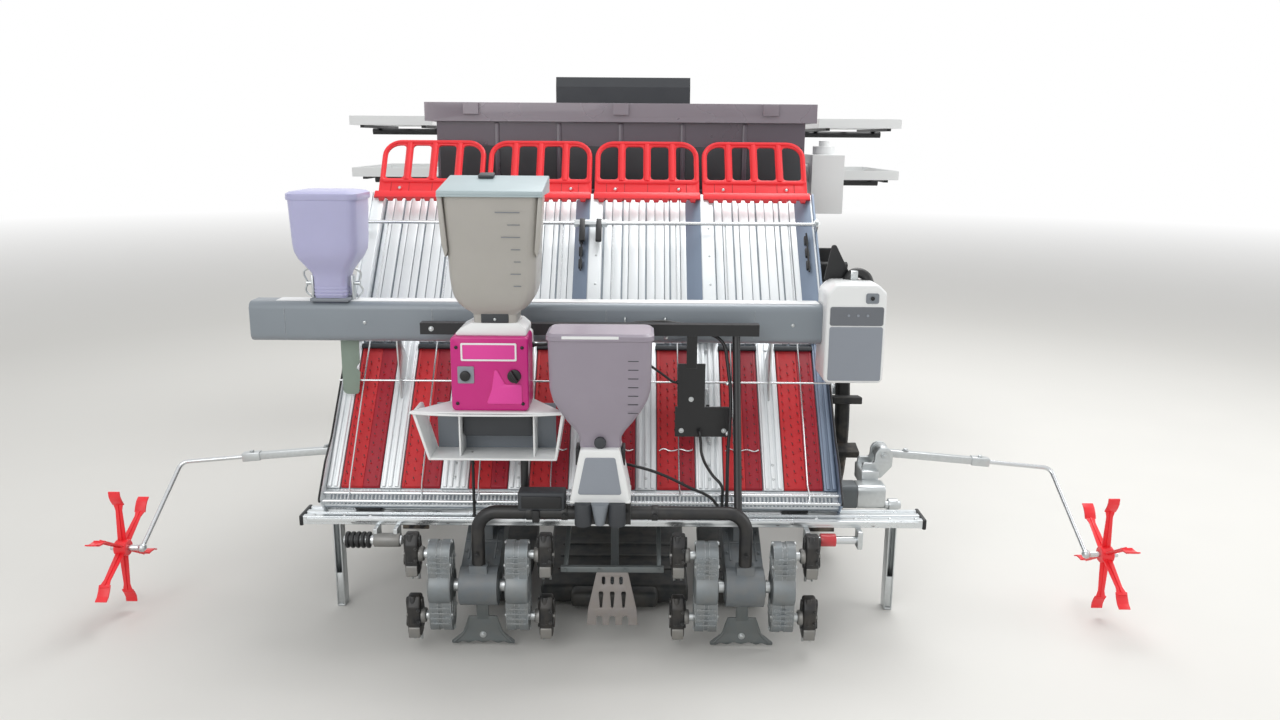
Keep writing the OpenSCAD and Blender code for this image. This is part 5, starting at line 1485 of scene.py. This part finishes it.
class TRANSPLANTER_OT_tool_frame(Build, bpy.types.Operator):
    """Finishes the tube hoop and crossbar, and lays the cables along them"""

    bl_idname = "transplanter.tool_frame"
    bl_label = "Tool frame and cables"

    def execute(self, context):
        dress("tool_frame", black_powder_coat(), 1.5)
        piece = Piece("tool_frame_fittings", "planter", "arm_black")
        zinc, black = zinc_plate(), black_nylon_and_painted_shadow()
        for x0, x1 in ((-112, -98), (88, 102), (-190, -176)):
            piece.add(bar((x0, -830, 346), (x1, -830, 346), 17.5, sides=24, edge=1), black_powder_coat())
        spots = [(-300, -847, 250), (300, -847, 250), (-105, -848, 346), (95, -848, 346), (-50, -851, 352),
                 (32, -851, 352)]
        piece.add(bolt(8, 3), black, [rearward(*p) for p in spots])
        piece.add(bolt(7, 3), zinc, [rearward(x, -673.5, 730) for x in (-420, 60)])
        piece.add(bolt(7, 3), zinc, [rearward(x, -670, z) for x, z in ((180, 566), (158, 490), (258, 490))])
        piece.add(plate(oblong(-440, -446, 717, 743, 1), 24), black, [rearward(0, -660, 0)])
        # The control unit rides on the hoop, left of the applicator
        piece.add(block(-208, -103, -845, -800, 353, 396, 5, 3), charcoal_abs_and_painted_shade())
        piece.add(block(-200, -111, -848, -843, 360, 388, 2), black)
        piece.add(block(-176, -160, -850, -812, 328, 356, 2), black)
        # The drive's sleeve and its ringed boot hang from the rail on two straps
        piece.add(bar((-612, -788, 260), (-480, -788, 260), 11, sides=24, edge=1), stainless_rod())
        piece.add(bar((-544, -788, 260), (-484, -788, 260), 16, sides=28, edge=2), claw_casting())
        for x in range(-608, -548, 12):
            piece.add(bar((x, -788, 260), (x + 8, -788, 260), 19, sides=28, edge=2.5), black)
        for x in (-546, -500):
            piece.add(block(x, x + 10, -792, -752, 256, 288, 2), zinc)
        piece.place()

        piece = stand_in("cable_harness", "harness")
        runs = (
            (4, (-184, -700, 700), (-160, -700, 700), (-140, -684, 703), (-110, -655, 710), (240, -655, 710),
             (262, -690, 650), (262, -745, 420), (262, -752, 345), (262, -752, 305)),
            (3.5, (200, -670, 490), (200, -684, 490), (203, -688, 470), (206, -700, 440), (228, -736, 404),
             (250, -750, 380), (251, -752, 350), (251, -752, 305)),
            (3, (-60, -655, 711.6), (-30, -655, 711.6), (-10, -662, 700), (60, -670, 662), (118, -672, 622),
             (140, -667, 606), (148, -667, 606)),
            (3.5, (-320, -752, 455), (-320, -752, 305)),
            (3.5, (10, -760, 430), (10, -745, 430), (60, -745, 424), (170, -750, 380), (240, -752, 335),
             (240, -752, 305)))
        for radius, *points in runs:
            piece.add(tube(points, radius, 12), black)
            for end in (points[0], points[-1]):
                piece.add(ball(end, radius * 1.7), black)
        for point in ((-20, -655, 710), (120, -655, 710), (262, -700, 612), (262, -726, 500)):
            piece.add(ball(point, 6, 1), zinc)
        piece.place()
        return {"FINISHED"}


class TRANSPLANTER_OT_rail(Build, bpy.types.Operator):
    """Finishes the rail, the planting end's beam, the stand legs, the marker arms and their wheels"""

    bl_idname = "transplanter.rail"
    bl_label = "Rail, stands and markers"

    def execute(self, context):
        zinc, black = zinc_plate(), black_nylon_and_painted_shadow()
        dress("table_rail", bright_aluminium(), 1.5)
        self.planter(zinc)
        piece = Piece("rail_fittings", "planter", "rail_bright")
        piece.add(block(-723, -714, -763, -687, 282, 307, 3), black,
                  [Matrix(), Matrix.Scale(-1, 4, (1, 0, 0))])
        piece.add(block(-705, 705, -765, -758, 292, 303, 2), bright_aluminium())
        piece.add(screw(4.5), zinc, [shift(x, -752, 304.8) for x in (-690, -620, -560, 470, 560, 640, 700)])
        piece.add(bolt(8, 3), claw_casting(), [rearward(x, -760, 296) for x in (-600, -380, 380, 600)])
        # Coupling: a red sleeve on a bright shaft at the right end
        piece.add(bar((452, -776, 262), (560, -776, 262), 9, sides=20, edge=1), stainless_rod())
        piece.add(bar((476, -776, 262), (512, -776, 262), 15, sides=24, edge=2), red_enamel())
        for x in (440, 560):
            piece.add(block(x, x + 12, -790, -756, 244, 286, 2), zinc)
        piece.place()
        for side, name in HANDS:
            leg = stand_in("stand_leg_" + name, "stand_" + name)
            x, y, z = side * 690.0, -580.0, 275.0
            outline = rounded([(y - 18, 2, 3), (y + 18, 2, 3), (y + 18, z, 17.9), (y - 18, z, 17.9)])
            leg.add(plate(outline, 3, [disc(y, z - 1, 11.5)]), zinc, [sideways(x + a) for a in (-8.4, 8.4)])
            leg.add(block(x - 9.5, x + 9.5, y + 13, y + 17.6, 6, z - 12, 1.5), zinc)
            leg.add(block(x - 10, x + 10, y - 18, y + 18, 0, 7, 2.5), zinc)
            leg.add(block(x - 9, x + 9, y - 16, y - 12, 8, 90, 1.2), zinc)
            leg.add(bar((x - 12, y, z), (x + 12, y, z), 16, sides=24, edge=1.5), zinc)
            leg.add(bolt(14, 5), zinc, [shift(x + side * 12, y, z) @ turn(side * 90, "Y")])
            leg.place()
            self.marker(side, name)
        return {"FINISHED"}

    def planter(self, zinc):
        """The planting end's cross beam, its link ears, table stays and zinc-plated marker brackets."""
        coat = grey_powder_coat()
        piece = stand_in("planter_beam_and_brackets", "planter_frame")
        beam = oblong(-590, -530, 265, 325, 12, 4)
        piece.add(prism(beam, 1200, 2), coat, [sideways(-600)])
        piece.add(prism(beam, 70, 3), zinc, [sideways(x) for x in (-670, 600)])
        ear = rounded([(-532, 265, 2), (-459, 265, 14), (-459, 516, 8), (-474, 522, 12), (-492, 510, 8),
                       (-532, 462, 8)])
        holes = [disc(LINK_Y, z, 10.5) for z in (LOW_PIN_Z, TOP_PIN_Z)]
        piece.add(plate(ear, 12, holes), coat, [sideways(s * 86) for s in SIDES])
        piece.add(bar((-92, LINK_Y, TOP_PIN_Z), (92, LINK_Y, TOP_PIN_Z), 10, sides=20), zinc)
        # A table stay runs from the beam up to the cross bar, 28 mm wide with a blunt tip
        foot, tip = Vector((-540, 300)), Vector((-262, 700))
        stay = (tip - foot).normalized() * 8
        across = Vector((-stay.y, stay.x)) * 14 / 8
        arm = [foot - across, tip - across, tip + stay * 1.7, tip + across, foot + across]
        arm = rounded([(p.x, p.y, 6 if i in (1, 2, 3) else 1) for i, p in enumerate(arm)])
        piece.add(prism(arm, 15, 1.5), coat, [sideways(x) for x in (-470, 455)])
        piece.add(bar((-470, -262, 700), (470, -262, 700), 12, sides=20), coat)
        cheek = rounded([(625, 321, 4), (674, 321, 10), (701, 352, 14), (702, 400, 20), (659, 400, 20),
                         (656, 360, 8),
                         (626, 360, 6)])
        for s in SIDES:
            piece.add(bar((s * 92, LINK_Y, LOW_PIN_Z), (s * 120, LINK_Y, LOW_PIN_Z), 10, sides=20), zinc)
            piece.add(bar((s * 670, -580, 275), (s * 709, -580, 275), 10, sides=20, edge=1), zinc)
            piece.add(block(s * 455, s * 470, -532, -490, 290, 325, 2), coat)
            piece.add(block(s * 620, s * 664, -532, -448, 305, 345, 3), zinc)
            piece.add(plate(mirrored(cheek, s), 9.6, [disc(s * MARKER_X, MARKER_Z, 9.2)]), zinc,
                      [rearward(0, y, 0) for y in (-507, -453)])
            piece.add(bar((s * MARKER_X, -514, MARKER_Z), (s * MARKER_X, -446, MARKER_Z), 9, sides=18,
                          edge=1),
                      zinc)
            piece.add(bolt(9, 4), zinc,
                      [rearward(s * MARKER_X, -514, MARKER_Z), rearward(s * 640, -512, 338)])
        piece.place()

    def marker(self, side, name):
        """A marker's bent arm and its red paddle wheel."""
        zinc, bright = zinc_plate(), stainless_rod()
        arm = stand_in("marker_arm_tube_" + name, "marker_arm_" + name)
        start, elbow = Vector((side * MARKER_X, MARKER_Y, MARKER_Z)), Vector((side * 950, MARKER_Y, 356))
        knee, end = Vector((side * 1116, MARKER_Y, 340)), Vector((side * 1156, PADDLE_Y, PADDLE_Z))
        run = (elbow - start).length
        square = Matrix.Translation(start) @ (elbow - start).to_track_quat("X", "Z").to_matrix().to_4x4()
        arm.add(block(18, run, -9, 9, -9, 9, 1.5), zinc, [square])
        arm.add(block(run - 40, run + 6, -11, 11, -11, 11, 2), zinc, [square])
        arm.add(lathe([(9.5, -20), (19, -20), (20, -18), (20, 18), (19, 20), (9.5, 20)], 28, closed=True),
                zinc,
                [shift(*start) @ turn(90, "X")])
        arm.add(bent([elbow - (elbow - start) * 0.02, knee, end], 5.5, 22, 14, 7), bright)
        arm.add(bar((side * 1150, PADDLE_Y, PADDLE_Z), (side * 1232, PADDLE_Y, PADDLE_Z), 7, sides=18,
                    edge=1), bright)
        arm.add(ball(end, 11), zinc)
        arm.add(bolt(10, 4), zinc, [square @ shift(a, 0, 10) for a in (60, run - 18)])
        arm.place()
        wheel = stand_in("marker_wheel_moulding_" + name, "marker_wheel_" + name)
        red = red_polypropylene()
        hub = shift(side * PADDLE_X, PADDLE_Y, PADDLE_Z) @ turn(90, "Y")
        wheel.add(lathe([(7.4, -15), (18, -15), (20, -13), (20, 13), (18, 15), (7.4, 15)], 28, closed=True),
                  red, [hub])
        spokes = [hub @ turn(60 * i, "Z") for i in range(6)]
        web = rounded([(14, -11, 2), (96, -8, 2), (118, -13, 3), (118, 13, 3), (96, 8, 2), (14, 11, 2)])
        wheel.add(prism(web, 3, 0.8), red, [m @ turn(90, "X") @ shift(0, 0, -1.5) for m in spokes])
        wheel.add(block(14, 112, -4.5, 4.5, -1.6, 1.6, 1), red, spokes)
        # Cupped paddles, thicker at the tip
        cup = rounded([(0, 0, 1), (14, 3.5, 6), (28, 4.5, 8), (41, 1, 1), (41, 4.5, 1), (28, 8.5, 8),
                       (14, 7.5, 6), (0, 4, 1)], 3)
        wheel.add(prism(cup, 27, 1.2), red, [m @ shift(111, -3, -13.5) @ turn(20, "Z") for m in spokes])
        wheel.place()


class TRANSPLANTER_OT_wheels(Build, bpy.types.Operator):
    """Moulds the field tyres with their lugs and builds the spoked rims"""

    bl_idname = "transplanter.wheels"
    bl_label = "Wheels"

    def execute(self, context):
        sizes = context.scene.transplanter_sizes
        for side, name in HANDS:
            # Axle's place along Y; tyre's radius, seat radius and width; lugs' count, height, width and
            # thickness; boss's radius, half length and bore; spokes' count; half the rim's width
            self.wheel("rear", side, name, 0, (425, 342, 34), (sizes.rear_lugs, 46, 75, 22), (40, 35, 16.2),
                       10, 15)
            self.wheel("front", side, name, 1050, (290, 215, 78), (sizes.front_lugs, 22, 90, 26),
                       (36, 31, 15.2),
                       6, 35)
        return {"FINISHED"}

    def wheel(self, end, side, name, axle_y, tyre_sizes, lug_sizes, boss_sizes, spokes, deep):
        """One tyre and its rim about the wheel's axis."""
        rubber, paint, spoke = tyre_rubber(), wheel_paint(), 9
        radius, seat, ring = tyre_sizes
        lugs, lug, wide, thick = lug_sizes
        boss, boss_half, bore = boss_sizes
        hub = shift(side * 600, axle_y, radius) @ turn(90, "Y")
        tyre = stand_in(f"{end}_tyre_rubber_{name}", f"{end}_tyre_{name}")
        half, base = ring / 2, radius - lug
        tyre.add(lathe([(seat, -half + 4), (seat + 3, -half), (base - 9, -half), (base - 2, -half + 6),
                        (base, 0),
                        (base - 2, half - 6), (base - 9, half), (seat + 3, half), (seat, half - 4)], 64,
                       closed=True),
                 rubber, [hub])
        # A lug is widest at its foot and has a rounded tread edge
        top, foot = thick / 2 - 2, thick / 2
        section = [(base - 6, -foot), (radius - 2, -top), (radius, -top + 2), (radius, top - 2),
                   (radius - 2, top), (base - 6, foot)]
        for i in range(lugs):
            tyre.add(prism(section, wide, 2.2), rubber,
                     [hub @ turn(360 * i / lugs, "Z") @ shift(0, 0, -wide / 2)])
        tyre.place()
        rim = stand_in(f"{end}_rim_steel_{name}", f"{end}_rim_{name}")
        rim.add(lathe([(seat - 14, -deep + 3), (seat - 11, -deep), (seat, -deep), (seat, -deep + 3),
                       (seat - 4, 0),
                       (seat, deep - 3), (seat, deep), (seat - 11, deep), (seat - 14, deep - 3)], 56,
                      closed=True),
                paint, [hub])
        rim.add(lathe([(bore, -boss_half), (boss - 4, -boss_half), (boss, -boss_half + 4),
                       (boss, boss_half - 4),
                       (boss - 4, boss_half), (bore, boss_half)], 36, closed=True), paint, [hub])
        arms = [hub @ turn(360 * (i + 0.3) / spokes, "Z") for i in range(spokes)]
        rim.add(bar((boss - 6, 0, 0), (seat - 10, 0, 0), spoke, sides=14), paint, arms)
        rim.add(bar((boss - 4, 0, 0), (boss + 10, 0, 0), spoke + 4, spoke, sides=14), paint, arms)
        rim.add(bolt(10, 4), zinc_plate(),
                [a @ turn(12, "Z") @ shift(boss - 12, 0, d * boss_half) @ turn(90 - d * 90, "X")
                 for a in arms[::2] for d in SIDES])
        rim.place()


class TRANSPLANTER_OT_body(Build, bpy.types.Operator):
    """Builds the steering wheel, dash, lamps and bin fittings"""

    bl_idname = "transplanter.body"
    bl_label = "Body and controls"

    def execute(self, context):
        self.steering()
        self.bin()
        self.front()
        return {"FINISHED"}

    def steering(self):
        column = shift(0, 945, 1150) @ turn(30, "X")
        grip, black = black_nylon_and_painted_shadow(), charcoal_abs_and_painted_shade()
        wheel = stand_in("steering_wheel_moulding", "steering_wheel")
        wheel.add(lathe([(164 + 11 * math.cos(a), 11 * math.sin(a))
                         for a in (math.tau * i / 12 for i in range(12))], 56,
                        closed=True), grip, [column])
        spoke = rounded([(16, -14, 2), (60, -10, 8), (158, -9, 1), (158, 9, 1), (60, 10, 8), (16, 14, 2)])
        wheel.add(prism(spoke, 8, 2), grip,
                  [column @ turn(90 + 120 * i, "Z") @ shift(0, 0, -4) for i in range(3)])
        wheel.add(lathe([(10.3, -20), (24, -20), (26, -18), (26, 10), (20, 14), (0, 14), (0, 9.5),
                         (10.3, 9.5)], 32), grip,
                  [column])
        wheel.add(lathe([(0, 16.5), (14, 15.5), (18, 13), (0, 13)], 28), black, [column])
        wheel.place()
        dress("dash_console", charcoal_abs_and_painted_shade(), 4)
        dash = Piece("dash_instruments", body_of("dash_console"), slot_of("dash_console"))
        face = shift(0, 952, 1000) @ turn(40, "X")
        dash.add(block(-90, 90, -8, 60, 14, 22, 4), black, [face])
        dash.add(lathe([(20, 0), (26, 0), (26, 5), (23, 7), (20, 5)], 32, closed=True), zinc_plate(),
                 [face @ shift(x, 26, 22) for x in (-46, 46)])
        dash.add(bar((0, 0, 0), (0, 0, 2), 20, sides=28), graphite_film(),
                 [face @ shift(x, 26, 22) for x in (-46, 46)])
        for i in range(5):
            dash.add(bar((-20 + i * 10, 8, 22), (-20 + i * 10, 8, 24), 3, sides=12), slate_film(), [face])
        dash.place()

    def bin(self):
        smoke, black = smoked_acrylic_and_painted_shade(), charcoal_abs_and_painted_shade()
        # The bin's darker tint is painted shade
        dress("fertiliser_hopper", smoke, 2.5)
        # The lid's paler tint is painted light on its upward face
        dress("hopper_lid", lid_painted_light(), 2.5)
        low, high = extent("fertiliser_hopper")
        piece = Piece("fertiliser_bin_ribs", body_of("fertiliser_hopper"), slot_of("fertiliser_hopper"))
        for x in (-360, -180, 0, 180, 360):
            piece.add(block(x - 7, x + 7, low.y - 4, low.y + 2, low.z + 10, high.z - 46, 2), smoke)
        piece.add(block(low.x - 2, high.x + 2, low.y - 5, low.y + 2, low.z + 2, low.z + 14, 2), smoke)
        # Dark panels between the ribs are painted shade, standing in for the bin's dark lower part.
        # Dark panels between the ribs stand in for the bin's dark lower part; its cause isn't known
        for left, right in ((low.x + 8, -367), (-353, -187), (-173, -7), (7, 173), (187, 353),
                            (367, high.x - 8)):
            piece.add(block(left, right, low.y - 1.2, low.y + 2, low.z + 14, high.z - 112, 1), black)
        piece.add(bolt(9, 4), zinc_plate(),
                  [rearward(x, low.y - 4, low.z + 8) for x in range(-500, 501, 125)])
        piece.place()
        dress("metering_units", black, 3)
        low, high = extent("metering_units")
        units = Piece("metering_unit_fittings", body_of("metering_units"), slot_of("metering_units"))
        for k in ROWS:
            x = k * ROW
            units.add(bar((x - 66, low.y + 90, low.z + 80), (x + 66, low.y + 90, low.z + 80), 15, sides=24,
                          edge=2), black)
            units.add(bolt(8, 4), zinc_plate(), [rearward(x + a, low.y, low.z + 90) for a in (-28, 28)])
            units.add(lathe([(22.4, 0), (26, 0), (26, 8), (22.4, 8)], 24, closed=True), grey_plastic_and_painted_shade(),
                      [shift(x, low.y + 190, low.z + 6)])
        units.place()

    def front(self):
        dress("bonnet", red_enamel(), 9)
        dress("front_mask", charcoal_abs_and_painted_shade(), 3)
        low, high = extent("front_mask")
        lamps = Piece("head_lamps", body_of("front_mask"), slot_of("front_mask"))
        spots = [shift(s * 135, high.y - 8, 780) @ turn(-90, "X") for s in SIDES]
        lamps.add(lathe([(0, 7), (20, 6), (33, 3), (37, 0), (0, 0)], 32), lamp_glass(), spots)
        lamps.add(lathe([(36, 0), (41, 0), (41, 6), (38, 8), (36, 6)], 32, closed=True), grey_plastic_and_painted_shade(), spots)
        lamps.place()


class TRANSPLANTER_OT_seat(Build, bpy.types.Operator):
    """Pads the seat by simulating its cover, and trims the seat shell"""

    bl_idname = "transplanter.seat"
    bl_label = "Seat"

    def execute(self, context):
        low, high = extent("seat_cushion")
        vinyl = seat_vinyl()
        # The pad starts smaller than its place, swells against a movement cap, and is flat where it rests
        wide, deep = (high.x - low.x) / 2 - 12, high.y - low.y
        rings = []
        for z, inset in ((2, 10), (8, 3), (26, 0), (44, 2), (54, 12)):
            rings.append(level(0, (low.y + high.y) / 2, low.z + z, 2 * (wide - inset), deep - 24 - 2 * inset,
                               34))
        cushion = loft(rings)
        cushion.transform(Matrix.Translation((0, AXLE_Y, 0)) @ Matrix.Scale(MM, 4))
        mesh = bpy.data.meshes.new("padded_seat_cushion")
        cushion.to_mesh(mesh)
        cushion.free()
        mesh.materials.append(vinyl)
        pad = bpy.data.objects.new("padded_seat_cushion", mesh)
        context.scene.collection.objects.link(pad)
        self.bake(context, pad, "REMESH", mode="VOXEL", voxel_size=0.006)
        self.swell(context, pad, low.z * MM)
        self.bake(context, pad, "SUBSURF", levels=1, render_levels=1)
        pad.data.polygons.foreach_set("use_smooth", [True] * len(pad.data.polygons))
        pad.data.materials.clear()
        pad.data.materials.append(vinyl)
        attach(pad, body_of("seat_cushion"))
        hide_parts("seat_cushion")
        self.trim(low, high)
        return {"FINISHED"}

    def bake(self, context, pad, kind, **settings):
        """Applies one modifier to a mesh."""
        made = pad.modifiers.new(kind, kind)
        for key, value in settings.items():
            setattr(made, key, value)
        shape = pad.evaluated_get(context.evaluated_depsgraph_get())
        finished = bpy.data.meshes.new_from_object(shape)
        pad.modifiers.clear()
        pad.data = finished

    def swell(self, context, pad, floor, most=0.014):
        """Blows the cover up a little with Cloth, keeping every point near its start and above its rest."""
        start = [v.co.copy() for v in pad.data.vertices]
        cloth = pad.modifiers.new("Cover", "CLOTH")
        cloth.settings.use_pressure = True
        cloth.settings.uniform_pressure_force = 4.0
        cloth.settings.effector_weights.gravity = 0.0
        cloth.settings.quality = 6
        for frame_number in range(1, 21):
            context.scene.frame_set(frame_number)
        shape = pad.evaluated_get(context.evaluated_depsgraph_get()).to_mesh()
        moved = [v.co.copy() for v in shape.vertices]
        pad.modifiers.clear()
        context.scene.frame_set(1)
        for vertex, home, place in zip(pad.data.vertices, start, moved):
            step = place - home
            if step.length > most:
                step *= most / step.length
            vertex.co = home + step
            vertex.co.z = max(vertex.co.z, floor + 0.0005)

    def trim(self, low, high):
        """Piping and sewn channels on the cushion, and the shell's edge."""
        black = black_nylon_and_painted_shadow()
        dress("seat_frame", charcoal_abs_and_painted_shade(), 4)
        dress("seat_pedestal", charcoal_abs_and_painted_shade(), 6)
        trim = Piece("seat_piping", body_of("seat_cushion"), slot_of("seat_cushion"))
        half, y = (high.x - low.x) / 2 - 4, (low.y + high.y) / 2
        ring = oblong(-half, half, low.y + 8, high.y - 6, 34, 6)
        trim.add(tube([(p.x, p.y, low.z + 30) for p in ring], 3.2, 10, free=False, closed=True), black)
        for x in (-110, 110):
            trim.add(tube([(x, low.y + 16, low.z + 46), (x, low.y + 60, low.z + 62), (x, y, low.z + 66),
                           (x, high.y - 60, low.z + 62), (x, high.y - 14, low.z + 46)], 1.6, 8), black)
        trim.place()


class TRANSPLANTER_OT_chassis(Build, bpy.types.Operator):
    """Finishes the frame, castings, links, lift, engine, deck, racks, blower and floats"""

    bl_idname = "transplanter.chassis"
    bl_label = "Chassis and castings"

    def execute(self, context):
        edge = context.scene.transplanter_sizes.edge / MM
        for nodes, finish, width in (
                (("main_frame", "rack_frames", "lower_links", "upper_link"), black_powder_coat(), edge),
                (("drive_case", "front_axle_case", "knuckle_left", "knuckle_right"), sand_casting(),
                 3 * edge),
                (("engine_block", "lift_cylinder"), sand_casting(), 2 * edge),
                (("lift_rod",), stainless_rod(), 0.5 * edge),
                (("deck",), deck_coat(), edge),
                (("blower_housing",), white_plastic_and_painted_highlight(), 2 * edge),
                (("rack_trays",), white_plastic_and_painted_highlight(), 0.5 * edge)):
            for node in nodes:
                dress(node, finish, width)
        self.floats()
        return {"FINISHED"}

    def floats(self):
        """Three rotomoulded floats with raised noses, shallow ribs and their posts."""
        piece = stand_in("float_mouldings", "floats")
        # The floats' near-black colour is partly painted shade
        coat, steel = float_polymer_and_painted_shade(), grey_powder_coat()
        middle = rounded([(-600, 14, 12), (-262, 14, 40), (-171, 60, 8), (-171, 84, 8), (-262, 61, 40),
                          (-600, 61, 14)])
        outer = rounded([(-600, 14, 12), (-302, 14, 40), (-221, 56, 8), (-221, 78, 8), (-302, 57, 40),
                         (-600, 57, 14)])
        piece.add(prism(middle, 370, 9, 3), coat, [sideways(-185)])
        piece.add(block(-108, 108, -640, -590, 20, 60, 12, 3), coat)
        piece.add(prism(outer, 150, 9, 3), coat, [sideways(x) for x in (-375, 225)])
        for y in (-500, -420, -340):
            piece.add(block(-150, 150, y, y + 14, 58, 64, 2.5), coat)
            piece.add(block(-52, 52, y, y + 12, 54, 60, 2.5), coat, [shift(s * ROW, 0, 0) for s in SIDES])
        for x, foot in ((-300, 55), (0, 59), (300, 55)):
            piece.add(block(x - 10, x + 10, -574, -546, foot, 268, 2), steel)
            piece.add(block(x - 26, x + 26, -584, -536, foot, foot + 7, 2), steel)
            piece.add(bolt(8, 3), zinc_plate(), [shift(x + a, -560, foot + 7) for a in (-19, 19)])
        piece.place()


class TRANSPLANTER_PT_panel(bpy.types.Panel):
    bl_idname = "TRANSPLANTER_PT_panel"
    bl_label = "Rice transplanter"
    bl_space_type = "VIEW_3D"
    bl_region_type = "UI"
    bl_category = "Transplanter"

    def draw(self, context):
        for group in (context.scene.transplanter_sizes, context.scene.transplanter_colours):
            for name in group.bl_rna.properties.keys():
                if name not in ("rna_type", "name"):
                    self.layout.prop(group, name)
        for operator in OPERATORS:
            self.layout.operator(operator.bl_idname)


OPERATORS = (
    TRANSPLANTER_OT_stage,
    TRANSPLANTER_OT_table,
    TRANSPLANTER_OT_belts,
    TRANSPLANTER_OT_grids,
    TRANSPLANTER_OT_rods,
    TRANSPLANTER_OT_granules,
    TRANSPLANTER_OT_spreader,
    TRANSPLANTER_OT_applicator,
    TRANSPLANTER_OT_planting,
    TRANSPLANTER_OT_tool_frame,
    TRANSPLANTER_OT_rail,
    TRANSPLANTER_OT_wheels,
    TRANSPLANTER_OT_body,
    TRANSPLANTER_OT_seat,
    TRANSPLANTER_OT_chassis,
)
CLASSES = (TransplanterSizes, TransplanterColours, *OPERATORS, TRANSPLANTER_PT_panel)


def register():
    for item in CLASSES:
        bpy.utils.register_class(item)
    bpy.types.Scene.transplanter_sizes = PointerProperty(type=TransplanterSizes)
    bpy.types.Scene.transplanter_colours = PointerProperty(type=TransplanterColours)


def unregister():
    del bpy.types.Scene.transplanter_colours
    del bpy.types.Scene.transplanter_sizes
    for item in reversed(CLASSES):
        bpy.utils.unregister_class(item)


def main():
    """Registers the add-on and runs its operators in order."""
    register()
    for operator in OPERATORS:
        group, name = operator.bl_idname.split(".")
        getattr(getattr(bpy.ops, group), name)()


if __name__ == "__main__":
    main()
